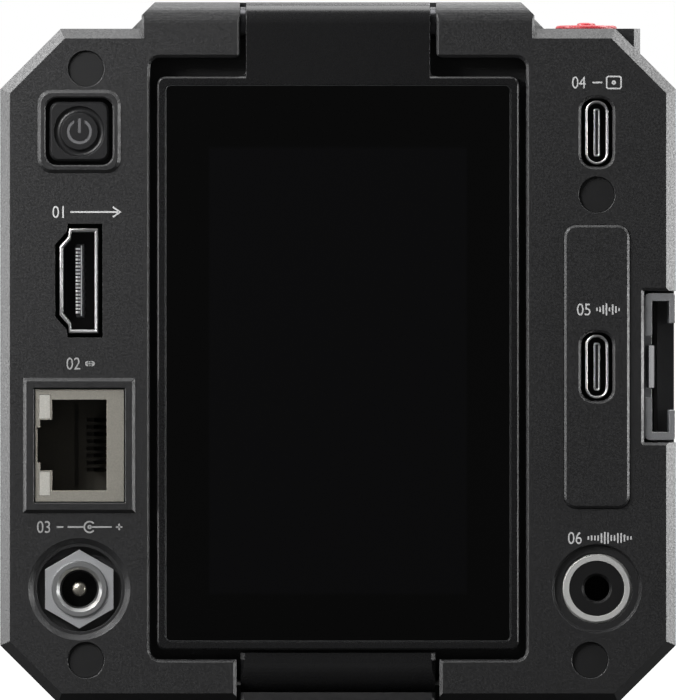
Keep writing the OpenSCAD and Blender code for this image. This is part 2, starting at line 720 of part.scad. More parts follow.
// Middle frame, an eight-sided tube with posts for the boards and screws
module mid_frame() {
  color("#303030") difference() {
    union() {
      difference() {
        slab_y(body_outline(0), [y_seam, y_front_seam]);
        slab_y(body_outline(wall), [y_seam - 1, y_front_seam + 1]);
      }
      for (p = cover_screw_at) rod_y(p[0], p[1], boss_r, [y_seam, cover_screw_end + 1]);
      side_boss = cover_screw_at[3];
      block([side_boss[0], half_w - wall / 2], boss_web_y, about(side_boss[1], boss_web_t));
      for (i = [0:2]) let (p = cover_screw_at[i], z = p[1] > lens_z ? z_top - wall / 2 : z_low + wall / 2)
        block(about(p[0], boss_web_t), boss_web_y, [min(p[1], z), max(p[1], z)]);
      for (p = post_at) rod_y(p[0], p[1], boss_r, [y_main_front, y_front_seam]);
    }
    for (p = cover_screw_at) rod_y(p[0], p[1], screw_r + fit, [y_seam - 1, cover_screw_end + fit]);
    for (p = post_at) rod_y(p[0], p[1], screw_r + fit, [front_screw_end - fit, y_front_seam + 1]);
    for (p = post_at) rod_y(p[0], p[1], standoff_hole_r, [y_main_front - 1, y_main_front + small_hole_d]);
    slab_y(grown_deck(), grown(deck_y, fit));
    for (p = rail_screw_at) rod_z(p[0], p[1], screw_r + fit, [z_top - wall - 1, z_top + 1]);
    for (p = foot_screw_at) rod_z(p[0], p[1], screw_r + fit, [z_low - 1, z_low + wall + 1]);
    rod_z(0, 0, bush_r + fit, [z_low - 1, z_low + wall + 1]);
    rod_z(0, 0, bush_r + fit, [z_top - wall - 1, z_top + 1]);
  }
}
function grown_deck() = [[deck_x[0] - fit, deck_z[0] - fit], [deck_x[1] + fit, deck_z[0] - fit],
  [deck_x[1] + fit, z_top + 1], [deck_x[0] - fit, z_top + 1]];

// Front cover with the lens opening and the posts that carry the sensor board
module front_cover() {
  color("#2c2c2c") difference() {
    union() {
      difference() {
        slab_y(body_outline(0), [y_front_seam, y_front]);
        edge_cuts(body_outline(0), y_front, edge_bevel, -1);
        slab_y(body_outline(wall), [y_front_seam - 1, y_front_in]);
      }
      for (p = post_at) rod_y(p[0], p[1], boss_r, [y_front_seam, y_front_in + 1]);
      for (p = sensor_post_at)
        rod_y(p[0], p[1], sensor_post_r, [y_sensor_board + sensor_board_t, y_front_in + 1]);
    }
    rod_y(0, lens_z, cover_bore_r, [y_front_in - 1, y_front + 1]);
    for (p = post_at) {
      rod_y(p[0], p[1], screw_r + screw_clear, [y_front_seam - 1, y_front + 1]);
      rod_y(p[0], p[1], head_r + screw_clear, [y_front - head_t - 0.2, y_front + 1]);
    }
    for (p = sensor_post_at) rod_y(p[0], p[1], standoff_hole_r,
      [y_sensor_board, y_sensor_board + sensor_board_t + small_hole_d]);
    for (p = mount_screw_at) rod_y(p[0], p[1], mount_screw_r + fit, [y_front_in - 1, y_front + 1]);
    rod_y(release_x, lens_z, release_r + slip, [y_front_in - 1, y_front + 1]);
    rod_y(lock_pin_x, lens_z, lock_pin_r + slip, [y_front_in - 1, y_front + 1]);
  }
}

// Raised rail on top, behind the hinge
module top_rail() {
  color("#2e2e2e") difference() {
    intersection() {
      slab_y([[-rail_w / 2, z_top], [rail_w / 2, z_top], [rail_w / 2 - rail_t, knuckle_top],
        [-rail_w / 2 + rail_t, knuckle_top]], rail_y);
      slab_x([[rail_y[0], z_top], [rail_y[1], z_top], [rail_y[1] - rail_t, knuckle_top],
        [rail_y[0], knuckle_top]], about(0, rail_w));
      slab_z([[-rail_w / 2 + rail_corner, rail_y[0]], [rail_w / 2 - rail_corner, rail_y[0]],
        [rail_w / 2, rail_y[0] + rail_corner], [rail_w / 2, rail_y[1]], [-rail_w / 2, rail_y[1]],
        [-rail_w / 2, rail_y[0] + rail_corner]], [z_top, knuckle_top]);
    }
    rod_z(0, 0, bush_r + fit, [z_top - 1, knuckle_top + 1]);
    for (p = rail_screw_at) {
      rod_z(p[0], p[1], screw_r + screw_clear, [z_top - 1, knuckle_top + 1]);
      rod_z(p[0], p[1], head_r + screw_clear, [knuckle_top - head_t - 0.1, knuckle_top + 1]);
    }
  }
}
module screw_z(at, seat, end) {
  back = seat < end ? -1 : 1;
  rod_z(at[0], at[1], screw_r, [min(seat, end), max(seat, end)]);
  difference() {
    rod_z(at[0], at[1], head_r, [min(seat, seat + back * head_t), max(seat, seat + back * head_t)]);
    translate([at[0], at[1], seat + back * head_t / 2 - (back > 0 ? 0 : head_t)])
      cylinder(r = screw_r * 0.9, h = head_t, $fn = 6);
  }
}
module rail_screws() {
  color("#8a8a8a") for (p = rail_screw_at) screw_z(p, knuckle_top - head_t - 0.1, z_top - wall);
}
module foot_screws() {
  color("#8a8a8a") for (p = foot_screw_at) screw_z(p, head_t + 0.1, z_low + wall);
}
module threaded_bush(z) {
  difference() {
    rod_z(0, 0, bush_r, z);
    rod_z(0, 0, thread_r, [z[0] - 1, z[1] + 1]);
  }
}
module tripod_bush() {
  color("#b8b4a8") threaded_bush([0, bush_h]);
}
module top_bush() {
  color("#b8b4a8") threaded_bush([knuckle_top - bush_h, knuckle_top]);
}

// Foot plate under the body, with an upstand in the notch at the rear
module tripod_foot() {
  plan = [[-foot_w / 2 + foot_bevel, foot_y[0]], [foot_w / 2 - foot_bevel, foot_y[0]],
    [foot_w / 2, foot_y[0] + foot_bevel], [foot_w / 2, foot_y[1] - foot_bevel],
    [foot_w / 2 - foot_bevel, foot_y[1]], [-foot_w / 2 + foot_bevel, foot_y[1]],
    [-foot_w / 2, foot_y[1] - foot_bevel], [-foot_w / 2, foot_y[0] + foot_bevel]];
  color("#262626") difference() {
    union() {
      slab_z(plan, [0, foot_plate_t]);
      intersection() {
        slab_z(plan, [0, foot_step_z]);
        block(about(0, body_w), [foot_y[0] - 1, y_bay - 0.1], [0, body_h]);
      }
    }
    rod_z(0, 0, bush_r + fit, [-1, foot_plate_t + 1]);
    rod_z(0, twist_y, twist_r, [-1, foot_plate_t + 1]);
    for (p = foot_screw_at) {
      rod_z(p[0], p[1], screw_r + screw_clear, [-1, foot_plate_t + 1]);
      rod_z(p[0], p[1], head_r + screw_clear, [-1, head_t + 0.1]);
    }
    for (p = pad_places()) block(grown(p[0], fit), grown(p[1], fit), [-1, pad_t]);
  }
}
function pad_places() = [for (y = [foot_y[0] + 2, foot_y[1] - 2 - pad_w])
  [about(0, foot_w - 2 * pad_edge), [y, y + pad_w]]];
module foot_pads() {
  color("#151515") for (p = pad_places()) block(p[0], p[1], [0, pad_t]);
}

// Rounded bar in the notch, where a finger lifts the screen
module finger_roll() {
  section = concat([[roll_y, roll_z[1] - roll_flat]],
    arc([roll_y + roll_r, roll_z[1] - roll_flat], roll_r, 180, 180 + roll_sweep, 8),
    [[y_bay - fit, roll_z[0]], [y_bay - fit, roll_z[1]], [roll_y, roll_z[1]]]);
  color("#202020") intersection() {
    slab_x(section, about(0, foot_w));
    slab_z([[-foot_w / 2, y_bay], [-foot_w / 2, roll_y + roll_chamfer],
      [-foot_w / 2 + roll_chamfer, roll_y - overcut], [foot_w / 2 - roll_chamfer, roll_y - overcut],
      [foot_w / 2, roll_y + roll_chamfer], [foot_w / 2, y_bay]], [0, body_h]);
  }
}
roll_sweep = asin((roll_z[1] - roll_flat - roll_z[0]) / roll_r);

// Screen that folds up on the hinge, with its frame, glass, panel, board and back
module screen_frame() {
  color("#1d1d1d") difference() {
    union() {
      loft_y([[screen_y[0], swelled(screen_x, screen_z, screen_corner, -0.25)],
        [screen_y[0] + 0.25, round_rect(screen_x, screen_z, screen_corner)],
        [y_screen_cover, round_rect(screen_x, screen_z, screen_corner)]]);
      block(arm_x, [screen_y[0], y_screen_cover], [screen_z[1] - screen_rim, hinge_z]);
      block(arm_x, screen_y, [screen_z[1] + fit, hinge_z]);
      for (sx = [0, 1]) mirror([sx, 0, 0])
        corner_fill(arm_x[1], screen_z[1], arm_fillet, [screen_y[0] + 0.25, y_screen_cover]);
      rod_x(hinge_y, hinge_z, hinge_r, arm_x);
    }
    slab_y(round_rect(grown(glass_x, fit), grown(glass_z, fit), 0.9), [screen_y[0] - 1, y_glass_back]);
    block(grown(glass_x, -screen_ledge), [y_rear, y_screen_cover + 1], grown(glass_z, -screen_ledge));
    for (sx = [-1, 1]) rod_x(hinge_y, hinge_z, shaft_r + fit, about(sx * (shaft_in + arm_w / 2) / 2,
      arm_w / 2 - shaft_in + 1));
    for (p = screen_screw_at()) rod_y(p[0], p[1], 0.7, [y_screen_cover - 2, y_screen_cover + 1]);
  }
}
function screen_screw_at() = [for (x = grown(screen_x, -screen_screw_inset),
  z = grown(screen_z, -screen_screw_inset)) [x, z]];
module screen_back() {
  color("#1a1a1a") difference() {
    loft_y([[y_screen_cover, round_rect(screen_x, screen_z, screen_corner)],
      [screen_y[1] - 0.3, round_rect(screen_x, screen_z, screen_corner)],
      [screen_y[1], swelled(screen_x, screen_z, screen_corner, -0.3)]]);
    for (p = screen_screw_at()) {
      rod_y(p[0], p[1], 0.8, [y_screen_cover - 1, screen_y[1] + 1]);
      rod_y(p[0], p[1], 1.35, [screen_y[1] - 0.5, screen_y[1] + 1]);
    }
  }
}
module screen_glass() {
  color("#050506") slab_y(round_rect(glass_x, glass_z, 0.85), [y_glass_back - glass_t, y_glass_back]);
}
module picture_panel() {
  color("#0b0b0d") block(about(0, picture_w + 2 * picture_border), [y_glass_back, y_glass_back + picture_t],
    about(picture_z, picture_h + 2 * picture_border));
}
module screen_board() {
  y0 = y_glass_back + picture_t;
  color("#20402c") difference() {
    union() {
      block(about(0, picture_w), [y0, y0 + 0.8], about(picture_z, picture_h));
      for (z = [-18, 0, 18]) block(about(6, 9), [y0, y0 + 1.4], about(picture_z + z, 9));
    }
    rod_y(-picture_w / 3, picture_z, 1.5, [y0 - 1, y0 + 2]);
  }
}
module screen_screws() {
  color("#6a6a6a") for (p = screen_screw_at())
    screw_y(p, screen_y[1] - 0.5, y_screen_cover - 1.8, 0.65, 1.3, 0.45);
}
module hinge_shafts() {
  color("#9a9a9a") for (sx = [-1, 1]) rod_x(hinge_y, hinge_z, shaft_r,
    about(sx * (shaft_in + shaft_out) / 2, shaft_out - shaft_in));
}
module hinge_washers() {
  color("#777777") for (sx = [-1, 1]) difference() {
    rod_x(hinge_y, hinge_z, hinge_r - 0.7, about(sx * (arm_w / 2 + knuckle_gap / 2), knuckle_gap - 2 * fit));
    rod_x(hinge_y, hinge_z, shaft_r + fit, about(sx * (arm_w / 2 + knuckle_gap / 2), knuckle_gap + 1));
  }
}

// Power button with a ringed dish and an on and off sign cut into it
module power_button() {
  y_back = y_rear_in + fit;
  stem_end = y_port_board - switch_h - switch_knob_h - power_travel - fit;
  color("#1e1e1e") difference() {
    union() {
      raised_pad(about(left_x, power_cap), about(power_z, power_cap), 1.3, [y_power_face, y_back], 0.3);
      slab_y(round_rect(about(left_x, power_flange_w), about(power_z, power_flange_w), 1.5),
        [y_back, y_back + power_flange]);
      rod_y(left_x, power_z, switch_knob_r, [y_back, stem_end]);
    }
    translate([left_x, y_power_face, power_z]) rotate([-90, 0, 0]) rotate_extrude()
      translate([dish_r, 0]) circle(r = dish_tube);
    power_sign();
  }
}
module power_sign() {
  y = [y_power_face - 1, y_power_face + 0.2];
  difference() {
    rod_y(left_x, power_z, 1.8, y);
    rod_y(left_x, power_z, 1.37, grown(y, 1));
    block(about(left_x, 1.5), grown(y, 1), [power_z, power_z + 3]);
  }
  block(about(left_x, 0.43), y, [power_z - 0.2, power_z + 1.9]);
}
module switch_body(h) {
  translate([-switch_w / 2, -switch_w / 2, 0]) cube([switch_w, switch_w, h]);
  translate([0, 0, h]) cylinder(r = switch_knob_r, h = switch_knob_h);
}
module power_switch() {
  color("#444444") translate([left_x, y_port_board, power_z]) rotate([90, 0, 0]) switch_body(switch_h);
}

// Red record button on its deck
module record_button() {
  top = z_top + record_up;
  flange_z = z_top - deck_roof - fit;
  stem_end = deck_z[0] + 1.6 + switch_knob_h + record_travel + fit;
  color("#c8555a") union() {
    translate([record_x, record_y]) rotate_extrude() polygon([[0, flange_z], [record_r, flange_z],
      [record_r, top - 0.3], [record_r - 0.15, top - 0.08], [record_r - 0.5, top],
      [record_r - 1.3, top - record_dish], [record_nub_r, top - record_dish],
      [record_nub_r - 0.25, z_top + record_nub_up - 0.12], [record_nub_r - 0.7, z_top + record_nub_up],
      [0, z_top + record_nub_up]]);
    rod_z(record_x, record_y, record_flange_r, [flange_z - record_flange_t, flange_z]);
    rod_z(record_x, record_y, switch_knob_r, [stem_end, flange_z]);
  }
}
module record_switch() {
  color("#444444") translate([record_x, record_y, deck_z[0]]) switch_body(1.6);
}
module button_deck() {
  color("#2b2b2b") difference() {
    slab_z([[deck_x[0], deck_y[0]], [deck_x[1] - deck_chamfer, deck_y[0]],
      [deck_x[1], deck_y[0] + deck_chamfer], [deck_x[1], deck_y[1] - deck_chamfer],
      [deck_x[1] - deck_chamfer, deck_y[1]], [deck_x[0], deck_y[1]]], deck_z);
    block([record_x - record_flange_r - slip, deck_x[1] - deck_wall], grown(deck_y, -deck_wall),
      [deck_z[0] - 1, z_top - deck_roof]);
    rod_z(record_x, record_y, record_r + slip, [deck_z[0], z_top + 1]);
  }
}
module button_board() {
  color("#1f5136") block(deck_x, deck_y, [deck_z[0] - button_board_t, deck_z[0]]);
}

// Video socket
module video_shell() {
  y = [y_rear + 0.35, y_port_board];
  color("#8d8f90") difference() {
    slab_y(video_outline(0), y);
    slab_y(video_outline(video_wall), [y[0] - 1, y[1] - 2]);
  }
}
module video_tongue() {
  x = about(left_x + 0.1, video_tongue_w);
  y = [y_rear + 2, y_port_board - 2];
  color("#222222") union() {
    block(x, y, about(video_z, video_tongue_h));
    slab_y(video_outline(video_wall + fit), [y[1] - 4, y[1]]);
  }
  color("#c0b080") for (i = [-4:5]) block([x[1], x[1] + 0.12], [y[0] + 0.5, y[1] - 4],
    about(video_z + i * 1 - 0.5, 0.45));
}

// Network socket
module lan_opening(y) {
  block(lan_open_x, y, lan_open_z);
  block(lan_step_x, y, lan_step_z);
  block(lan_latch_x, y, lan_latch_z);
}
module lan_light_places(y, g) {
  for (sz = [-1, 1]) block(grown(lan_light_x, g), y, grown(about(lan_z + 0.05 + sz * (lan_light_gap + 1.3),
    lan_light_h), g));
}
module lan_shell() {
  color("#b9b6ad") difference() {
    block(lan_x, [y_lan_face, y_port_board], about(lan_z, lan_h));
    lan_opening([y_lan_face - 1, y_lan_face + 1]);
    lan_light_places([y_lan_face - 1, y_lan_face + 2], fit);
    block(grown(lan_x, -0.3), [y_lan_face + 0.4, y_port_board - 0.6], about(lan_z, lan_h - 0.6));
  }
}
module lan_insert() {
  y = [y_lan_face + 0.4 + fit, y_port_board - 0.6 - fit];
  color("#1a1914") difference() {
    block(grown(lan_x, -0.3 - fit), y, about(lan_z, lan_h - 0.6 - 2 * fit));
    lan_opening([y[0] - 1, y[0] + lan_depth]);
    lan_light_places([y[0] - 1, y_lan_face + 2 + fit], fit);
    block(lan_groove_x, [y[0] + 1, y[0] + lan_depth + lan_slot_d], about(lan_z + 0.05, 11.7));
    for (i = [0:lan_wires - 1]) block([lan_open_x[1] - lan_slot_reach, lan_open_x[1] + overcut],
      [y[0] + lan_depth - 1, y[0] + lan_depth + lan_slot_d], about(lan_wire_z(i), lan_wire_t + 2 * fit));
  }
}
function lan_wire_z(i) = lan_z + 0.05 + (i - (lan_wires - 1) / 2) * lan_pitch;
module lan_contacts() {
  y_floor = y_lan_face + 0.4 + fit + lan_depth;
  x_wall = lan_open_x[1] - fit;
  wire = [[x_wall, y_floor - 7], [x_wall, y_floor - 6.4],
    [x_wall - lan_wire_reach + 0.4, y_floor + lan_slot_d - fit],
    [x_wall - lan_wire_reach, y_floor + lan_slot_d - fit], [x_wall - 0.35, y_floor - 7]];
  color("#d8b45a") for (i = [0:lan_wires - 1]) slab_z(wire, about(lan_wire_z(i), lan_wire_t));
}
module lan_lights() {
  color("#e8e0c8") lan_light_places([y_lan_face + 0.05, y_lan_face + 2], 0);
}

// Power inlet with its hexagon nut
module dc_nut() {
  color("#8f8f8f") difference() {
    translate([left_x, dc_floor_y, dc_z]) rotate([90, 0, 0]) rotate([0, 0, 90])
      cylinder(r = dc_nut_flats / sqrt(3), h = dc_nut_t, $fn = 6);
    rod_y(left_x, dc_z, dc_sleeve_r + fit, [y_rear - 1, dc_floor_y + 1]);
  }
}
module dc_sleeve() {
  y = [dc_floor_y - dc_nut_t - 0.4, y_port_board];
  color("#3a3a3a") difference() {
    union() {
      rod_y(left_x, dc_z, dc_sleeve_r, y);
      rod_y(left_x, dc_z, dc_flange_r, [dc_floor_y + dc_floor_t + fit, y[1]]);
    }
    rod_y(left_x, dc_z, dc_hole_r, [y[0] - 1, y[0] + dc_depth]);
    cone_y(left_x, dc_z, dc_hole_r + 0.5, dc_hole_r, [y[0] - overcut, y[0] + 0.5]);
    rod_y(left_x, dc_z, dc_root_r + fit, [y[0], y[0] + dc_depth + 3]);
  }
}
module dc_pin() {
  y = dc_floor_y - dc_nut_t - 0.4;
  color("#c9c3b4") union() {
    rod_y(left_x, dc_z, dc_pin_r, [y + 0.8, y + dc_depth]);
    rod_y(left_x, dc_z, dc_root_r, [y + dc_depth, y + dc_depth + 3]);
  }
}

// Small sockets with rounded shells and a flat tongue
module usb_shell(z, y_face) {
  x = about(right_x, usb_w);
  y = [y_face, y_port_board];
  difference() {
    slab_y(round_rect(x, about(z, usb_h), usb_w / 2 - 0.01, 8), y);
    slab_y(round_rect(grown(x, -usb_wall), about(z, usb_h - 2 * usb_wall), usb_w / 2 - usb_wall - 0.01, 8),
      [y[0] - 1, y[1] - 1]);
  }
}
module usb_tongue(z, y_face) {
  x = about(right_x, usb_w - 2 * usb_wall - 2 * fit);
  block(about(right_x, usb_tongue_w), [y_face + 0.6, y_port_board - 1], about(z, usb_tongue_h));
  slab_y(round_rect(x, about(z, usb_h - 2 * usb_wall - 2 * fit), usb_w / 2 - usb_wall - fit - 0.01, 8),
    [y_face + 6.6, y_port_board - 1]);
}
module usb_contacts(z, y_face) {
  for (sx = [-1, 1], i = [-5:6]) block(about(right_x + sx * (usb_tongue_w / 2 + 0.06), 0.12),
    [y_face + 0.9, y_face + 6.6], about(z + (i - 0.5) * 0.5, 0.26));
}
module upper_usb_shell() {
  color("#a5a7a8") usb_shell(upper_usb_z, y_usb_face);
}
module upper_usb_tongue() {
  color("#1b1b1b") usb_tongue(upper_usb_z, y_usb_face);
  color("#d0d0cc") usb_contacts(upper_usb_z, y_usb_face);
}
module lower_usb_shell() {
  color("#8f9192") usb_shell(lower_usb_z, y_usb_face - raise);
}
module lower_usb_tongue() {
  color("#1b1b1b") usb_tongue(lower_usb_z, y_usb_face - raise);
  color("#b0b0ac") usb_contacts(lower_usb_z, y_usb_face - raise);
}
module audio_panel() {
  color("#242424") difference() {
    raised_pad(panel_x, panel_z, panel_r, [y_raised, y_rear + panel_seat], 0.35);
    bevelled_hole(about(right_x, usb_w + 2 * usb_slot_gap), about(lower_usb_z, usb_h + usb_slot_gap),
      usb_w / 2, [y_raised, y_rear + panel_seat], mouth_bevel);
  }
}

// Audio socket
module aux_ring() {
  color("#c4c4c2") difference() {
    union() {
      cone_y(right_x, aux_z, aux_ring_r - 0.3, aux_ring_r, [y_aux_ring, y_aux_ring + 0.3]);
      rod_y(right_x, aux_z, aux_ring_r, [y_aux_ring + 0.3, aux_floor_y]);
    }
    rod_y(right_x, aux_z, aux_body_r + fit, [y_rear - 1, aux_floor_y + 1]);
  }
}
module aux_socket() {
  color("#141414") difference() {
    rod_y(right_x, aux_z, aux_body_r, [y_aux_ring + 0.1, y_port_board]);
    rod_y(right_x, aux_z, aux_hole_r, [y_rear, y_aux_ring + 0.1 + aux_depth]);
    cone_y(right_x, aux_z, aux_hole_r + 0.35, aux_hole_r, [y_aux_ring + 0.1 - overcut, y_aux_ring + 0.45]);
  }
}

// Screws that hold the covers, and the dark discs over the rear ones
module screw_caps() {
  color("#161616") for (p = cover_screw_at) rod_y(p[0], p[1], cap_r, [y_cap, y_cap + cap_t]);
}
module cover_screws() {
  color("#909090") for (p = cover_screw_at)
    screw_y(p, y_head + head_t, cover_screw_end, screw_r, head_r, head_t);
}
module front_screws() {
  color("#909090") for (p = post_at)
    screw_y(p, y_front - head_t - 0.2, front_screw_end, screw_r, head_r, head_t);
  color("#909090") for (p = mount_screw_at)
    screw_y(p, y_flange - mount_head_sink, y_front_in + 0.3, mount_screw_r, mount_head_r, mount_head_t);
}

// Cold shoe, a bent channel with two lips, in the pocket on the right side
function shoe_screw_at() = [for (y = [shoe_y[0] + 5.5, shoe_y[1] - 3], sz = [-1, 1])
  [y, shoe_z + sz * shoe_screw_side]];
module cold_shoe() {
  inner = about(shoe_z, shoe_slot_w);
  outer = about(shoe_z, shoe_outer_w);
  lips = about(shoe_z, shoe_lip_gap);
  r = shoe_bend;
  section = concat(arc([shoe_base_in + r, outer[0] + r], r, 180, 270, 4),
    arc([shoe_out - r / 2, outer[0] + r / 2], r / 2, -90, 0, 3),
    [[shoe_out, lips[0]], [shoe_lip_in, lips[0]], [shoe_lip_in, inner[0]], [shoe_base_out, inner[0]],
    [shoe_base_out, inner[1]], [shoe_lip_in, inner[1]], [shoe_lip_in, lips[1]], [shoe_out, lips[1]]],
    arc([shoe_out - r / 2, outer[1] - r / 2], r / 2, 0, 90, 3),
    arc([shoe_base_in + r, outer[1] - r], r, 90, 180, 4));
  color("#5c5c5c") difference() {
    slab_y(section, shoe_y);
    block([shoe_base_in - 1, shoe_base_out + 0.2], [shoe_y[0] - 1, shoe_y[0] + shoe_notch_d],
      about(shoe_z, shoe_notch_h));
    block([shoe_base_out - spring_sink, shoe_base_out + 1], [shoe_y[0] - 1, spring_y[1] + slip],
      about(shoe_z, spring_w + 2 * slip));
    for (p = shoe_screw_at()) {
      rod_x(p[0], p[1], shoe_screw_r + screw_clear, [shoe_base_in - 1, shoe_base_out + 1]);
      rod_x(p[0], p[1], shoe_head_r + fit, [shoe_base_out - shoe_head_t - fit, shoe_base_out + 1]);
    }
  }
}
module shoe_spring() {
  half = (spring_y[1] - spring_y[0]) / 2;
  rise = spring_up + spring_sink - spring_t - fit;
  bow_r = (half * half + rise * rise) / (2 * rise);
  sweep = asin(half / bow_r);
  arch = arc([mid(spring_y), shoe_base_out + spring_up - bow_r], bow_r, 90 - sweep, 90 + sweep, 8);
  bow = [for (p = arch) [p[1], p[0]]];
  under = [for (i = [len(bow) - 1:-1:0]) bow[i] - [spring_t, 0]];
  color("#b0b0b0") slab_z(concat(bow, under), about(shoe_z, spring_w));
}
module shoe_screws() {
  color("#9a9a9a") for (p = shoe_screw_at()) {
    rod_x(p[0], p[1], shoe_screw_r, [pocket_x - pocket_wall + 0.2, shoe_base_out - shoe_head_t - fit]);
    rod_x(p[0], p[1], shoe_head_r, [shoe_base_out - shoe_head_t - fit, shoe_base_out - fit]);
  }
}

// Boards behind the ports, the main board and their links
module port_board(x, screws) {
  difference() {
    block(x, [y_port_board, y_port_back], port_board_z);
    for (p = screws) rod_y(p[0], p[1], 1, [y_port_board - 1, y_port_back + 1]);
    for (p = cover_screw_at) rod_y(p[0], p[1], boss_r + 0.3, [y_port_board - 1, y_port_back + 1]);
  }
}
module left_port_board() {
  color("#1f5136") port_board(left_board_x, left_standoffs);
}
module right_port_board() {
  color("#1f5136") port_board(right_board_x, right_standoffs);
}
module board_links() {
  color("#d8d4c4") for (x = [left_board_x[1] - link_inset, right_board_x[0] + link_inset])
    block(about(x, link_w), [y_port_back, y_main], about(lens_z, link_h));
}
module small_screw(at, seat, end) {
  screw_y(at, seat, end, standoff_hole_r - fit, small_head_r, small_head_t);
}
module board_screws() {
  color("#909090") {
    for (p = concat(left_standoffs, right_standoffs))
      small_screw(p, y_port_back, y_port_board - small_screw_len);
    for (p = post_at) small_screw(p, y_main, y_main_front + small_screw_len);
    for (p = sensor_post_at)
      small_screw(p, y_sensor_board, y_sensor_board + sensor_board_t + small_screw_len);
  }
}
module main_board() {
  x = main_board_x;
  z = main_board_z;
  chips = [[x[0] + 14.8, z[1] - 12.7, 9], [x[0] + 14.8, z[0] + 12.3, 9], [x[1] - 15.8, z[1] - 16.7, 10],
    [x[1] - 15.8, z[0] + 22.3, 8], [0, z[1] - 6, 8]];
  color("#1d4a33") difference() {
    block(x, [y_main, y_main_front], z);
    for (p = cover_screw_at) rod_y(p[0], p[1], boss_r + 0.4, [y_main - 1, y_main_front + 1]);
    for (p = post_at) rod_y(p[0], p[1], 1, [y_main - 1, y_main_front + 1]);
  }
  color("#181818") block(about(0, processor_w), [y_main_front, y_main_front + processor_t],
    about(lens_z, processor_w));
  color("#181818") for (c = chips) block(about(c[0], c[2]), [y_main_front, y_main_front + 1.2],
    about(c[1], c[2]));
}
module heat_sink() {
  fin_gap = (sink_w - sink_fin_t) / (sink_fins - 1);
  color("#9c9ea0") union() {
    block(about(0, sink_w), [y_sink, y_sink + sink_base_t], about(lens_z, sink_h));
    for (i = [0:sink_fins - 1]) block(about(-sink_w / 2 + sink_fin_t / 2 + i * fin_gap, sink_fin_t),
      [y_sink, y_sink_end], about(lens_z, sink_h));
  }
}

// Image sensor on its board
module sensor_board() {
  color("#1f5136") difference() {
    block(about(0, 2 * (throat_r + sensor_board_edge)), [y_sensor_board, y_sensor_board + sensor_board_t],
      about(lens_z, sensor_board_h));
    for (p = sensor_post_at) rod_y(p[0], p[1], 1, [y_sensor_board - 1, y_sensor_board + sensor_board_t + 1]);
  }
}
module sensor_package() {
  y0 = y_sensor - sensor_t;
  color("#2d2d33") difference() {
    block(about(0, package_w), [y0, y_sensor + 0.6], about(lens_z, package_h));
    block(about(0, sensor_w), [y_sensor, y_sensor + 1], about(lens_z, sensor_h));
  }
}

// Bayonet ring, its contacts and the lens lock
module claw_sector(a, y) {
  r = throat_r + claw_reach + 1;
  difference() {
    slab_y(concat([[0, lens_z]], arc([0, lens_z], r, a, a + claw_angle, 10)), y);
    rod_y(0, lens_z, throat_r + 0.3, grown(y, 1));
  }
}
module lens_ring() {
  y_claw = y_flange - claw_t;
  color("#c2c4c6") difference() {
    union() {
      difference() {
        rod_y(0, lens_z, mount_r, [y_front, y_flange]);
        rod_y(0, lens_z, throat_r + claw_reach, [y_front + 2.2, y_flange + 1]);
      }
      for (a = [20:120:260]) claw_sector(a, [y_claw, y_flange - 0.1]);
    }
    rod_y(0, lens_z, throat_r, [y_front - 1, y_front + 3]);
    for (p = mount_screw_at) {
      rod_y(p[0], p[1], mount_screw_r + screw_clear, [y_front - 1, y_flange + 1]);
      rod_y(p[0], p[1], mount_head_r + screw_clear, [y_flange - mount_head_sink, y_flange + 1]);
    }
    rod_y(lock_pin_x, lens_z, lock_pin_r + slip, [y_front - 1, y_flange + 1]);
  }
}
module lens_contacts() {
  y = [y_front_in, y_front - 0.1];
  color("#202020") difference() {
    intersection() {
      rod_y(0, lens_z, cover_bore_r - fit, y);
      block(about(0, 20), y, [lens_z - cover_bore_r, lens_z - cover_bore_r + 4]);
    }
    rod_y(0, lens_z, cover_bore_r - 2.6, grown(y, 1));
  }
  color("#d9b75c") for (a = [-4:4]) let (at = (cover_bore_r - 1.3) * [sin(a * 5.8), -cos(a * 5.8)])
    rod_y(at[0], lens_z + at[1], 0.45, [y[1], y[1] + 0.09]);
}
module release_button() {
  color("#262626") union() {
    cone_y(release_x, lens_z, release_r, release_r - 0.4,
      [y_front + release_up - 0.4, y_front + release_up]);
    rod_y(release_x, lens_z, release_r, [y_front_in - 0.1, y_front + release_up - 0.4]);
  }
}
module lock_plate() {
  y = [y_front_in - 0.1 - plate_t, y_front_in - 0.1];
  color("#8a8a8a") block([lock_pin_x - 2.4, release_x + release_r + 0.4], y, about(lens_z, 8));
}
module lock_pin() {
  color("#b5b5b5") rod_y(lock_pin_x, lens_z, lock_pin_r, [y_front_in - 0.1, y_flange + lock_pin_up]);
}

rear_cover();
mid_frame();
front_cover();
top_rail();
button_deck();
tripod_foot();
foot_pads();
foot_screws();
tripod_bush();
top_bush();
rail_screws();
finger_roll();
screen_frame();
screen_back();
screen_glass();
picture_panel();
screen_board();
screen_screws();
hinge_shafts();
hinge_washers();
power_button();
power_switch();
record_button();
record_switch();
button_board();
video_shell();
video_tongue();
lan_shell();
lan_insert();
lan_contacts();
lan_lights();
dc_nut();
dc_sleeve();
dc_pin();
upper_usb_shell();
upper_usb_tongue();
lower_usb_shell();
lower_usb_tongue();
aux_ring();
aux_socket();
audio_panel();
screw_caps();
cover_screws();
cold_shoe();
shoe_spring();
shoe_screws();
left_port_board();
right_port_board();
board_links();
board_screws();
main_board();
heat_sink();
sensor_package();
sensor_board();
lens_ring();
front_screws();
lens_contacts();
release_button();
lock_plate();
lock_pin();
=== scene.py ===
"""Finishes, small pieces and studio for a box-shaped live streaming camera.

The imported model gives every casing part, socket and board. This file gives them their surfaces,
adds the pieces that are too fine for the model, and sets up floor, lamps and camera.
Lengths are metres, and the frame is the model's: the rear face looks to -Y and +Z is up.
"""

import math

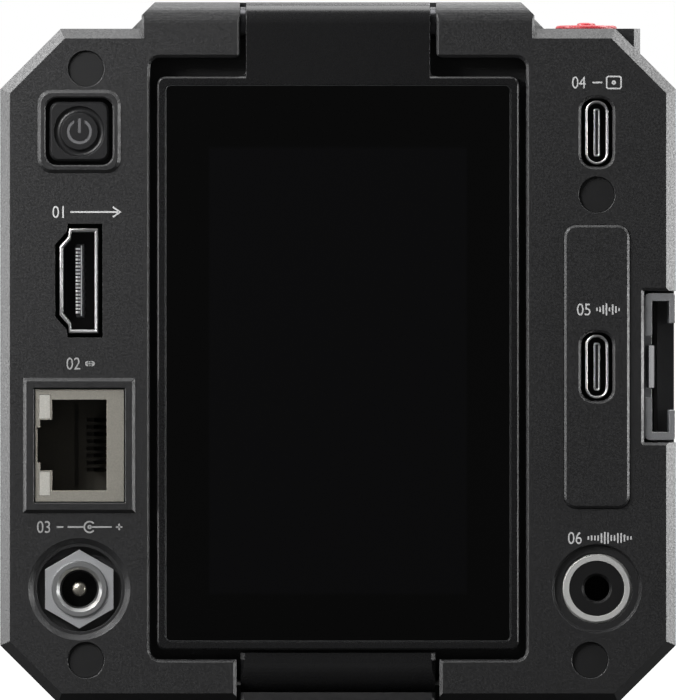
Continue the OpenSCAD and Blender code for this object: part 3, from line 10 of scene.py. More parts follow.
import bpy
import numpy as np
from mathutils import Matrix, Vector


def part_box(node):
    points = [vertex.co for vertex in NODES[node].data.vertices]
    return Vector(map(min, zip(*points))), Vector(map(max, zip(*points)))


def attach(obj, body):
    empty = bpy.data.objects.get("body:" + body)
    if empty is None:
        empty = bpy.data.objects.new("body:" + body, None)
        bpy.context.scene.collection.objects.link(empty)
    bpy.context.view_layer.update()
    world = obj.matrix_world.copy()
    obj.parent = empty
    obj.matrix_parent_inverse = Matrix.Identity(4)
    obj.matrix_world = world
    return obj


bl_info = {
    "name": "Streaming camera finish",
    "version": (1, 0, 0),
    "blender": (4, 5, 0),
    "location": "View3D > Sidebar > Streaming camera",
    "description": "Dresses the packed streaming camera and builds its studio",
    "category": "Object",
}

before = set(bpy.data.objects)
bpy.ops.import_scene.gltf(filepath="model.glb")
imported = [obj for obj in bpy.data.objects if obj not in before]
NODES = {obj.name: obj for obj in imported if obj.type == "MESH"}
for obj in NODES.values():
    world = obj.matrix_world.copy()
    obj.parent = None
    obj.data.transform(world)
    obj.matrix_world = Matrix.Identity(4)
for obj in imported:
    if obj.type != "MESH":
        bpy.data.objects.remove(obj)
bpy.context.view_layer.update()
MM = 0.001
# The view is a picture of this height, and one of its pixels covers 0.142 mm of the rear face
IMAGE_H = 700
PIXEL = 0.142 * MM
# Row of the picture, counted from its top, at which z is 0
GROUND_ROW = 730


def linear(code):
    """Linear RGBA of an sRGB hex code: c/12.92 up to 0.04045, else ((c + 0.055) / 1.055) ^ 2.4."""
    srgb = np.array([int(code[i:i + 2], 16) for i in (1, 3, 5)]) / 255
    rgb = np.where(srgb <= 0.04045, srgb / 12.92, ((srgb + 0.055) / 1.055) ** 2.4)
    return (*rgb.tolist(), 1.0)


def rgb(code):
    """The three linear channels of a hex code, as a colour property's default."""
    return linear(code)[:3]


def span(node, axis):
    """Lowest and highest coordinate of a model node along axis 0, 1 or 2."""
    low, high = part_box(node)
    return low[axis], high[axis]


def middle(node):
    """Centre of a model node's box as x, y, z."""
    low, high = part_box(node)
    return (np.array(low) + np.array(high)) / 2


# Rear face of the casing
REAR_Y = -34 * MM
# Face of the raised parts: the button's rim, the network frame and the audio panel
RAISED_Y = span("rear_cover", 1)[0]
# Outward direction of everything on the rear face
OUTWARD = (0, -1, 0)


# Properties

class ShellSizes(bpy.types.PropertyGroup):
    """Finish of the casing"""
    colour: bpy.props.FloatVectorProperty(
        name="Shell colour", description="Colour of the anodised casing", subtype="COLOR",
        default=rgb("#1c1c1d"), min=0, max=1)
    # Real dimples are about 0.1 mm wide. They are drawn coarser, so that they show in the picture
    grain: bpy.props.FloatProperty(
        name="Blast grain", description="Width of one dimple left by bead blasting",
        default=0.00026, min=0.0001, max=0.001, precision=5, unit="LENGTH")
    roughness: bpy.props.FloatProperty(
        name="Shell roughness", description="Micro roughness of the anodised casing",
        default=0.44, min=0.1, max=1, subtype="FACTOR")


class ScreenSizes(bpy.types.PropertyGroup):
    """Finish of the folding screen"""
    frame_colour: bpy.props.FloatVectorProperty(
        name="Frame colour", description="Colour of the screen's metal frame", subtype="COLOR",
        default=rgb("#131314"), min=0, max=1)
    glass_colour: bpy.props.FloatVectorProperty(
        name="Glass colour", description="Colour of the black print behind the glass", subtype="COLOR",
        default=rgb("#020202"), min=0, max=1)
    picture_colour: bpy.props.FloatVectorProperty(
        name="Picture colour", description="Colour of the dark picture area", subtype="COLOR",
        default=rgb("#050506"), min=0, max=1)
    edge_width: bpy.props.FloatProperty(
        name="Glass edge", description="Width of the ground edge round the glass",
        default=0.00012, min=0.0001, max=0.0006, precision=5, unit="LENGTH")


class KeySizes(bpy.types.PropertyGroup):
    """Finish of the keys"""
    record_colour: bpy.props.FloatVectorProperty(
        name="Record colour", description="Colour of the record button", subtype="COLOR",
        default=rgb("#b5383f"), min=0, max=1)
    key_colour: bpy.props.FloatVectorProperty(
        name="Key colour", description="Colour of the power button", subtype="COLOR",
        default=rgb("#1e1e1f"), min=0, max=1)
    sign_colour: bpy.props.FloatVectorProperty(
        name="Sign colour", description="Colour of the sign on the power button", subtype="COLOR",
        default=rgb("#646466"), min=0, max=1)


class MarkSizes(bpy.types.PropertyGroup):
    """Printed port numbers and signs"""
    digit_height: bpy.props.FloatProperty(
        name="Digit height", description="Height of the printed digits",
        default=0.0017, min=0.001, max=0.003, precision=4, unit="LENGTH")
    ink_height: bpy.props.FloatProperty(
        name="Ink height", description="Thickness of the printed ink",
        default=0.00002, min=0.00001, max=0.0001, precision=5, unit="LENGTH")
    bright: bpy.props.FloatVectorProperty(
        name="Bright ink", description="Colour of the bright printed marks", subtype="COLOR",
        default=rgb("#cdcdcd"), min=0, max=1)
    dim: bpy.props.FloatVectorProperty(
        name="Dim ink", description="Colour of the dimmer printed marks", subtype="COLOR",
        default=rgb("#a2a2a2"), min=0, max=1)


class StudioSizes(bpy.types.PropertyGroup):
    """Lamps and camera"""
    side_light: bpy.props.FloatProperty(
        name="Side light", description="Power of the right side lamp", default=1.55, min=0, max=20,
        unit="POWER")
    top_light: bpy.props.FloatProperty(
        name="Top light", description="Power of the top lamp", default=0.85, min=0, max=20,
        unit="POWER")
    key_light: bpy.props.FloatProperty(
        name="Key light", description="Power of the lamp at the upper left", default=1.2, min=0, max=20,
        unit="POWER")
    lens: bpy.props.FloatProperty(
        name="Focal length", description="Focal length of the long lens that flattens the view",
        default=1200, min=50, max=5000, unit="CAMERA")


class CameraSizes(bpy.types.PropertyGroup):
    """All sizes and colours of the streaming camera's finish"""
    shell: bpy.props.PointerProperty(type=ShellSizes, name="Shell", description="Finish of the casing")
    screen: bpy.props.PointerProperty(type=ScreenSizes, name="Screen", description="Finish of the screen")
    keys: bpy.props.PointerProperty(type=KeySizes, name="Keys", description="Finish of the keys")
    marks: bpy.props.PointerProperty(type=MarkSizes, name="Marks", description="Printed marks")
    studio: bpy.props.PointerProperty(type=StudioSizes, name="Studio", description="Lamps and camera")


def settings():
    """The scene's own sizes and colours."""
    return bpy.context.scene.streaming_camera


# Mesh code

def grid_faces(rows, columns, close_rows=False, close_columns=False):
    """Quads of a grid of rows x columns points, as an array of point numbers.

    Quad (i, j) joins points (i, j), (i, j+1), (i+1, j+1) and (i+1, j), with i or j taken
    modulo the count where that direction is closed."""
    i, j = np.meshgrid(np.arange(rows - (not close_rows)), np.arange(columns - (not close_columns)),
                       indexing="ij")
    i, j = i.ravel(), j.ravel()
    i2, j2 = (i + 1) % rows, (j + 1) % columns
    return np.stack([i * columns + j, i * columns + j2, i2 * columns + j2, i2 * columns + j], 1)


def joined(*parts):
    """One (points, faces) pair from several, with each part's face numbers moved up."""
    points, faces, count = [], [], 0
    for p, f in parts:
        points.append(np.asarray(p, float))
        faces += [[int(k) + count for k in face] for face in f]
        count += len(p)
    return np.vstack(points), faces


def swept(path, profile, sideways, closed=False):
    """Surface of a profile carried along a path in the plane across the vector sideways.

    Point (i, j) = path_i + profile_j.x * (tangent_i x sideways) + profile_j.y * sideways, where the
    tangent is the mean of the two neighbouring directions and a corner is mitred by 1 / cos(half turn)."""
    path, profile = np.asarray(path, float), np.asarray(profile, float)
    side = np.asarray(sideways, float)
    step = np.roll(path, -1, 0) - path
    if not closed:
        step[-1] = step[-2]
    step /= np.linalg.norm(step, axis=1, keepdims=True)
    before = np.roll(step, 1, 0)
    if not closed:
        before[0] = step[0]
    tangent = step + before
    tangent /= np.linalg.norm(tangent, axis=1, keepdims=True)
    mitre = 1 / np.clip((tangent * step).sum(1), 0.35, 1)
    across = np.cross(tangent, side) * mitre[:, None]
    points = (path[:, None] + across[:, None] * profile[None, :, :1]
              + side[None, None] * profile[None, :, 1:])
    n, m = len(path), len(profile)
    faces = grid_faces(n, m, close_rows=closed, close_columns=True).tolist()
    if not closed:
        faces += [list(range(m))[::-1], list(range((n - 1) * m, n * m))]
    return points.reshape(-1, 3), faces


def turned(profile, centre, axis, steps=64):
    """Closed surface of revolution: point (i, j) = centre + r_j (cos a_i u + sin a_i v) + h_j axis.

    profile is a closed ring of (r, h), a_i runs round the circle, and u, v, axis are at right angles.
    u is at right angles to the axis and to a slanted direction that no axis here follows."""
    axis = np.asarray(axis, float)
    u = np.cross(axis, [0.36, 0.48, 0.8])
    u /= np.linalg.norm(u)
    v = np.cross(axis, u)
    a = np.linspace(0, 2 * np.pi, steps, endpoint=False)
    ring = np.cos(a)[:, None] * u + np.sin(a)[:, None] * v
    profile = np.asarray(profile, float)
    points = (np.asarray(centre, float) + ring[:, None] * profile[None, :, :1]
              + profile[None, :, 1:] * axis)
    return points.reshape(-1, 3), grid_faces(steps, len(profile), True, True).tolist()


def rounded_rectangle(x, z, radius, y, steps=8):
    """Loop of points at height y: four quarter circles of a rounded rectangle, anticlockwise from -Y."""
    a = np.linspace(0, np.pi / 2, steps)
    corners = [(x[1] - radius, z[0] + radius, -np.pi / 2), (x[1] - radius, z[1] - radius, 0),
               (x[0] + radius, z[1] - radius, np.pi / 2), (x[0] + radius, z[0] + radius, np.pi)]
    rings = [np.stack([cx + radius * np.cos(a + a0), np.full(steps, y), cz + radius * np.sin(a + a0)], 1)
             for cx, cz, a0 in corners]
    return np.vstack(rings)


def half_round(radius):
    """Profile of a rolled edge: the half circle (r cos t, r sin t) for t from 0 to 180 degrees."""
    t = np.linspace(0, np.pi, 9)
    return radius * np.stack([np.cos(t), np.sin(t)], 1)


def arc_path(x, z, radius, start, end, y, steps=24):
    """Points of an arc in the plane y: (x + r cos a, y, z + r sin a), a in degrees from start to end."""
    a = np.radians(np.linspace(start, end, steps))
    return np.stack([x + radius * np.cos(a), np.full(steps, y), z + radius * np.sin(a)], 1)


def piece(name, shape, body, material, smooth_angle=30):
    """A new mesh object from points and faces, at the origin, riding on a body with its finish."""
    points, faces = shape
    mesh = bpy.data.meshes.new(name)
    mesh.from_pydata(np.asarray(points).tolist(), [], faces)
    mesh.validate()
    obj = bpy.data.objects.new(name, mesh)
    bpy.context.scene.collection.objects.link(obj)
    bpy.context.view_layer.objects.active = obj
    for other in bpy.context.selected_objects:
        other.select_set(False)
    obj.select_set(True)
    bpy.ops.object.mode_set(mode="EDIT")
    bpy.ops.mesh.select_all(action="SELECT")
    bpy.ops.mesh.remove_doubles(threshold=1e-7)
    bpy.ops.mesh.normals_make_consistent(inside=False)
    bpy.ops.object.mode_set(mode="OBJECT")
    mesh.materials.append(material)
    bpy.ops.object.shade_smooth_by_angle(angle=math.radians(smooth_angle))
    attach(obj, body)
    return obj


def wear(names, material):
    """Gives each named model node one finish."""
    for name in names:
        mesh = NODES[name].data
        mesh.materials.clear()
        mesh.materials.append(material)


# Finishes

# Length of one wave of the wave texture at scale 1: 2 pi / 20
WAVE_LENGTH = 0.314


def add(tree, kind, values=None, links=None, **attributes):
    """Adds one node, with its attributes, socket values and incoming links."""
    made = tree.nodes.new(kind)
    for key, value in attributes.items():
        setattr(made, key, value)
    for key, value in (values or {}).items():
        made.inputs[key].default_value = value
    for key, source in (links or {}).items():
        tree.links.new(source, made.inputs[key])
    return made


def blank_material(name):
    """A material whose tree holds one shader, already linked to the output."""
    material = bpy.data.materials.new(name)
    material.use_nodes = True
    tree = material.node_tree
    tree.nodes.clear()
    shader = add(tree, "ShaderNodeBsdfPrincipled")
    add(tree, "ShaderNodeOutputMaterial", links={"Surface": shader.outputs[0]})
    return material, tree, shader


def grained(name, low, high, grain, roughness, spread, depth, cloud=12 * MM, edge=0.0, edge_highlight_colour=None,
            metallic=0.0, ior=1.5, stretch=(1, 1, 1), speckle=0.1):
    """A finish with two noises: clouds of colour and a fine grain that moves roughness and height.

    low and high are the clouds' two colours, grain the width of one dimple, spread how far the
    roughness swings, depth the height of a dimple, edge the radius that softens the edges, the edge
    colour the lighter colour painted along them as a highlight, stretch the grain's scale along x, y
    and z, and speckle the share by which the colour swings from dimple to dimple. The grain's noise
    lies mostly between 0.3 and 0.7, which the ranges take as its ends."""
    material, tree, shader = blank_material(name)
    place = add(tree, "ShaderNodeTexCoord").outputs["Object"]
    scaled = add(tree, "ShaderNodeMapping", {"Scale": stretch}, {"Vector": place})
    clouds = add(tree, "ShaderNodeTexNoise", {"Scale": 1 / cloud, "Detail": 3.0, "Roughness": 0.55},
                 {"Vector": place})
    fine = add(tree, "ShaderNodeTexNoise", {"Scale": 1 / grain, "Detail": 2.0, "Roughness": 0.6},
               {"Vector": scaled.outputs[0]})
    colour = add(tree, "ShaderNodeMix", {"A": low, "B": high}, {"Factor": clouds.outputs["Fac"]},
                 data_type="RGBA")
    speck = add(tree, "ShaderNodeMapRange",
                {"From Min": 0.3, "From Max": 0.7, "To Min": 1 - speckle, "To Max": 1 + speckle},
                {"Value": fine.outputs["Fac"]})
    tinted = add(tree, "ShaderNodeVectorMath", links={0: colour.outputs["Result"], 1: speck.outputs[0]},
                 operation="MULTIPLY")
    source = tinted.outputs[0]
    rough = add(tree, "ShaderNodeMapRange",
                {"From Min": 0.3, "From Max": 0.7,
                 "To Min": roughness - spread, "To Max": roughness + spread},
                {"Value": fine.outputs["Fac"]})
    bump = add(tree, "ShaderNodeBump", {"Strength": 0.9, "Distance": depth},
               {"Height": fine.outputs["Fac"]})
    if edge:
        soft = add(tree, "ShaderNodeBevel", {"Radius": edge}, samples=4)
        tree.links.new(soft.outputs[0], bump.inputs["Normal"])
        if edge_highlight_colour:
            # The softened normal leaves the flat one only at an edge: their product falls from 1 there
            flat = add(tree, "ShaderNodeNewGeometry")
            turn = add(tree, "ShaderNodeVectorMath",
                       links={0: soft.outputs[0], 1: flat.outputs["Normal"]}, operation="DOT_PRODUCT")
            # Painted highlight: the edges are painted lighter, up to 0.55 of the way to the edge colour
            painted_edge_highlight = add(tree, "ShaderNodeMapRange", {"From Min": 0.99, "From Max": 0.75, "To Max": 0.55},
                       {"Value": turn.outputs["Value"]})
            highlighted_colour = add(tree, "ShaderNodeMix", {"B": edge_highlight_colour}, {"Factor": painted_edge_highlight.outputs[0], "A": source},
                        data_type="RGBA")
            source = highlighted_colour.outputs["Result"]
    tree.links.new(source, shader.inputs["Base Color"])
    tree.links.new(rough.outputs[0], shader.inputs["Roughness"])
    tree.links.new(bump.outputs[0], shader.inputs["Normal"])
    shader.inputs["Metallic"].default_value = metallic
    if not metallic:
        shader.inputs["IOR"].default_value = ior
    return material


def tone(colour, factor):
    """A linear colour made lighter or darker by a factor, as RGBA."""
    return (*[min(1.0, c * factor) for c in colour[:3]], 1.0)


def anodised_aluminium():
    """Bead-blasted black anodised aluminium: a dark oxide of IOR 1.65 with fine dimples that break
    up the lamps' reflections, and edges painted paler as a highlight."""
    shell = settings().shell
    return grained("bead_blasted_black_anodised_aluminium", tone(shell.colour, 0.9), tone(shell.colour, 1.15),
                   shell.grain, shell.roughness, 0.1, 0.02 * MM, edge=0.1 * MM,
                   edge_highlight_colour=tone(shell.colour, 1.7), ior=1.65, speckle=0.16)


def satin_screen_metal():
    """Fine satin black anodised aluminium of the screen frame: smoother than the casing, so its
    highlights are tighter. Its edges are painted paler as a highlight."""
    return grained("satin_black_anodised_aluminium", tone(settings().screen.frame_colour, 0.92),
                   tone(settings().screen.frame_colour, 1.08), 0.12 * MM, 0.26, 0.04, 0.003 * MM,
                   edge=0.1 * MM, edge_highlight_colour=tone(settings().screen.frame_colour, 1.5), ior=1.6)


def black_cover_glass():
    """Polished glass over black print: near black with sharp reflections, and a picture area that is
    a trace lighter than its border. A point is in that area where the larger of |x| and |z|, counted
    from its middle in half sizes of the panel, is under 0.94."""
    material, tree, shader = blank_material("polished_cover_glass")
    place = add(tree, "ShaderNodeTexCoord")
    low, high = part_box("picture_panel")
    centre = [(low[i] + high[i]) / 2 for i in range(3)]
    half = [(high[0] - low[0]) / 2, 1.0, (high[2] - low[2]) / 2]
    moved = add(tree, "ShaderNodeMapping", {"Location": centre, "Scale": half},
                {"Vector": place.outputs["Object"]}, vector_type="TEXTURE")
    size = add(tree, "ShaderNodeVectorMath", links={0: moved.outputs[0]}, operation="ABSOLUTE")
    parts = add(tree, "ShaderNodeSeparateXYZ", links={0: size.outputs[0]})
    reach = add(tree, "ShaderNodeMath", links={0: parts.outputs["X"], 1: parts.outputs["Z"]},
                operation="MAXIMUM")
    inside = add(tree, "ShaderNodeMapRange", {"From Min": 0.95, "From Max": 0.93},
                 {"Value": reach.outputs[0]})
    screen = settings().screen
    colour = add(tree, "ShaderNodeMix",
                 {"A": (*screen.glass_colour, 1), "B": (*screen.picture_colour, 1)},
                 {"Factor": inside.outputs[0]}, data_type="RGBA")
    smear = add(tree, "ShaderNodeTexNoise", {"Scale": 1 / (9 * MM), "Detail": 4.0},
                {"Vector": place.outputs["Object"]})
    rough = add(tree, "ShaderNodeMapRange", {"To Min": 0.03, "To Max": 0.09}, {"Value": smear.outputs["Fac"]})
    tree.links.new(colour.outputs["Result"], shader.inputs["Base Color"])
    tree.links.new(rough.outputs[0], shader.inputs["Roughness"])
    shader.inputs["IOR"].default_value = 1.5
    return material


def moulded_plastic(name, code, roughness=0.42, grain=0.15):
    """Moulded ABS: an even colour and a satin sheen from a fine spark-eroded texture, grain in mm.
    Its edges are painted paler as a highlight.
    """
    return grained(name, tone(linear(code), 0.94), tone(linear(code), 1.06), grain * MM, roughness, 0.05,
                   0.003 * MM, edge=0.06 * MM, edge_highlight_colour=tone(linear(code), 1.8))


def worked_metal(name, code, roughness, grain=0.08, spread=0.06, depth=0.0015, stretch=(1, 1, 1), edge=0.08):
    """Bare or plated metal, grain, depth and edge in mm: its reflections are blurred by fine dimples,
    which stretch turns into the marks of rolling, drawing or bending."""
    return grained(name, tone(linear(code), 0.93), tone(linear(code), 1.05), grain * MM, roughness, spread,
                   depth * MM, cloud=4 * MM, edge=edge * MM, metallic=1.0, stretch=stretch)


def turned_metal(name, code, centre, roughness, pitch):
    """Lathe-turned metal: fine rings round an axis along Y through centre, pitch apart in mm, which
    draw the highlights out across them. Dividing y by a large number makes the spheres rings."""
    material, tree, shader = blank_material(name)
    place = add(tree, "ShaderNodeTexCoord")
    moved = add(tree, "ShaderNodeMapping", {"Location": list(centre), "Scale": (1, 1e6, 1)},
                {"Vector": place.outputs["Object"]}, vector_type="TEXTURE")
    rings = add(tree, "ShaderNodeTexWave",
                {"Scale": WAVE_LENGTH / (pitch * MM), "Distortion": 0.6, "Detail": 2.0, "Detail Scale": 2.0},
                {"Vector": moved.outputs[0]}, wave_type="RINGS", rings_direction="SPHERICAL")
    rough = add(tree, "ShaderNodeMapRange", {"To Min": roughness - 0.05, "To Max": roughness + 0.07},
                {"Value": rings.outputs["Fac"]})
    soft = add(tree, "ShaderNodeBevel", {"Radius": 0.1 * MM}, samples=4)
    bump = add(tree, "ShaderNodeBump", {"Strength": 0.35, "Distance": 0.002 * MM},
               {"Height": rings.outputs["Fac"], "Normal": soft.outputs[0]})
    shader.inputs["Base Color"].default_value = linear(code)
    shader.inputs["Metallic"].default_value = 1.0
    tree.links.new(rough.outputs[0], shader.inputs["Roughness"])
    tree.links.new(bump.outputs[0], shader.inputs["Normal"])
    return material


def solder_mask():
    """Green solder mask over copper: a glossy green with tracks 0.7 mm apart as lighter lines."""
    material, tree, shader = blank_material("green_solder_mask")
    place = add(tree, "ShaderNodeTexCoord")
    upright = add(tree, "ShaderNodeMapping", {"Rotation": (math.pi / 2, 0, 0)},
                  {"Vector": place.outputs["Object"]})
    cells = add(tree, "ShaderNodeTexBrick",
                {"Color1": linear("#12402a"), "Color2": linear("#103a27"), "Mortar": linear("#184d33"),
                 "Scale": 1 / (2.8 * MM), "Mortar Size": 0.04, "Brick Width": 2.4, "Row Height": 0.25},
                {"Vector": upright.outputs[0]})
    bump = add(tree, "ShaderNodeBump", {"Strength": 0.4, "Distance": 0.012 * MM},
               {"Height": cells.outputs["Fac"]})
    tree.links.new(cells.outputs["Color"], shader.inputs["Base Color"])
    tree.links.new(bump.outputs[0], shader.inputs["Normal"])
    shader.inputs["Roughness"].default_value = 0.28
    return material


def coated_sensor_glass():
    """Sensor under coated glass: nearly black violet from in front, bluer at a slant, mirror smooth."""
    material, tree, shader = blank_material("coated_sensor_glass")
    place = add(tree, "ShaderNodeTexCoord")
    layer = add(tree, "ShaderNodeLayerWeight", {"Blend": 0.35})
    tint = add(tree, "ShaderNodeMix", {"A": linear("#1a1426"), "B": linear("#2f4a5c")},
               {"Factor": layer.outputs["Facing"]}, data_type="RGBA")
    film = add(tree, "ShaderNodeTexNoise", {"Scale": 1 / (0.4 * MM)}, {"Vector": place.outputs["Object"]})
    rough = add(tree, "ShaderNodeMapRange", {"To Min": 0.05, "To Max": 0.1}, {"Value": film.outputs["Fac"]})
    tree.links.new(tint.outputs["Result"], shader.inputs["Base Color"])
    tree.links.new(rough.outputs[0], shader.inputs["Roughness"])
    shader.inputs["IOR"].default_value = 1.5
    return material


def printed_ink(name, colour):
    """Pad-printed ink: matt, with a slight unevenness of its film."""
    return grained(name, tone(colour, 0.95), tone(colour, 1.0), 0.05 * MM, 0.6, 0.05, 0.001 * MM)


# Operators

class CAMERA_OT_shell(bpy.types.Operator):
    """Finishes the casing, the audio panel, the foot with its pads and the discs over the screws"""
    bl_idname = "camera.shell"
    bl_label = "Casing"

    def execute(self, context):
        wear(["rear_cover", "mid_frame", "front_cover", "top_rail", "button_deck", "tripod_foot",
              "audio_panel"], anodised_aluminium())
        # Moulded rubber: black and matt, with a coarse grain
        wear(["foot_pads"], grained("moulded_black_rubber", linear("#131313"), linear("#191919"), 0.25 * MM,
                                    0.72, 0.08, 0.01 * MM))
        # Stuck-on discs: darker than the casing round them, with a finer grain
        wear(["screw_caps"], moulded_plastic("satin_black_disc", "#151516", 0.5, 0.2))
        return {"FINISHED"}


class CAMERA_OT_screen(bpy.types.Operator):
    """Finishes the folding screen, its hinge and the finger roll, and adds the glass's ground edge"""
    bl_idname = "camera.screen"
    bl_label = "Screen"

    def execute(self, context):
        wear(["screen_frame", "screen_back", "finger_roll"], satin_screen_metal())
        wear(["screen_glass"], black_cover_glass())
        # Picture panel behind the glass: dark and half glossy
        wear(["picture_panel"], moulded_plastic("dark_picture_panel", "#0d0d0f", 0.3))
        # Blued steel: dark grey, with drawing marks along the shafts
        wear(["hinge_shafts", "hinge_washers"],
             worked_metal("blued_hinge_steel", "#4a4a4c", 0.28, stretch=(1, 12, 12)))
        self.glass_edge(settings().screen.edge_width)
        return {"FINISHED"}

    def glass_edge(self, width):
        """The ground edge that runs round the glass as a thin bead.

        Its profile is the low arch (w/2 cos a, h sin a) for a from 0 to 180 degrees on a sunken foot,
        carried round the glass's outline."""
        x, z = span("screen_glass", 0), span("screen_glass", 2)
        face = span("screen_glass", 1)[0]
        half, rise, sunk, corner = width / 2, 0.03 * MM, 0.05 * MM, 0.75 * MM
        a = np.linspace(0, np.pi, 7)
        arch = np.stack([half * np.cos(a), rise * np.sin(a)], 1)
        profile = np.vstack([arch, [[-half, -sunk], [half, -sunk]]])
        loop = rounded_rectangle((x[0] + half, x[1] - half), (z[0] + half, z[1] - half), corner, face)
        # Ground glass: a grey line that catches the side light
        piece("glass_edge", swept(loop, profile, OUTWARD, closed=True), "screen",
              moulded_plastic("ground_glass_edge", "#2b2c2d", 0.3, 0.1))


class CAMERA_OT_keys(bpy.types.Operator):
    """Finishes the power and record buttons and fills the power sign"""
    bl_idname = "camera.keys"
    bl_label = "Keys"

    def execute(self, context):
        keys = settings().keys
        # Satin lacquer over metal: its fine grain keeps the highlights soft, and the edges are painted paler
        # as a highlight
        cap = grained("satin_black_key", tone(keys.key_colour, 0.93), tone(keys.key_colour, 1.07), 0.12 * MM,
                      0.38, 0.05, 0.002 * MM, edge=0.12 * MM, edge_highlight_colour=tone(keys.key_colour, 2.2))
        # Red lacquer: its edges too are painted paler as a highlight
        red = grained("satin_red_key", tone(keys.record_colour, 0.95), tone(keys.record_colour, 1.05),
                      0.12 * MM, 0.3, 0.04, 0.002 * MM, edge=0.15 * MM,
                      edge_highlight_colour=tone(keys.record_colour, 1.5))
        wear(["power_button", "release_button"], cap)
        wear(["record_button"], red)
        # Switch cases inside: plain dark grey
        wear(["power_switch", "record_switch"], moulded_plastic("grey_switch_case", "#3c3c3e"))
        self.power_sign(printed_ink("grey_sign_ink", keys.sign_colour))
        return {"FINISHED"}

    def power_sign(self, ink):
        """The ink in the engraved power sign: an open ring and a bar, each a flat strip on its path.

        The ring leaves a gap of 50 degrees at its top, where the bar passes."""
        x, z = middle("power_button")[[0, 2]]
        engraved, thick, stroke = 0.2 * MM, 0.12 * MM, 0.41 * MM
        radius, gap = 1.585 * MM, 25
        bar_low, bar_high = -0.2 * MM, 1.9 * MM
        floor = span("power_button", 1)[0] + engraved
        strip = [[-stroke / 2, 0], [stroke / 2, 0], [stroke / 2, thick], [-stroke / 2, thick]]
        ring = swept(arc_path(x, z, radius, 90 + gap, 450 - gap, floor, 48), strip, OUTWARD)
        bar = swept([[x, floor, z + bar_low], [x, floor, z + bar_high]], strip, OUTWARD)
        piece("power_sign", joined(ring, bar), "power_key", ink)


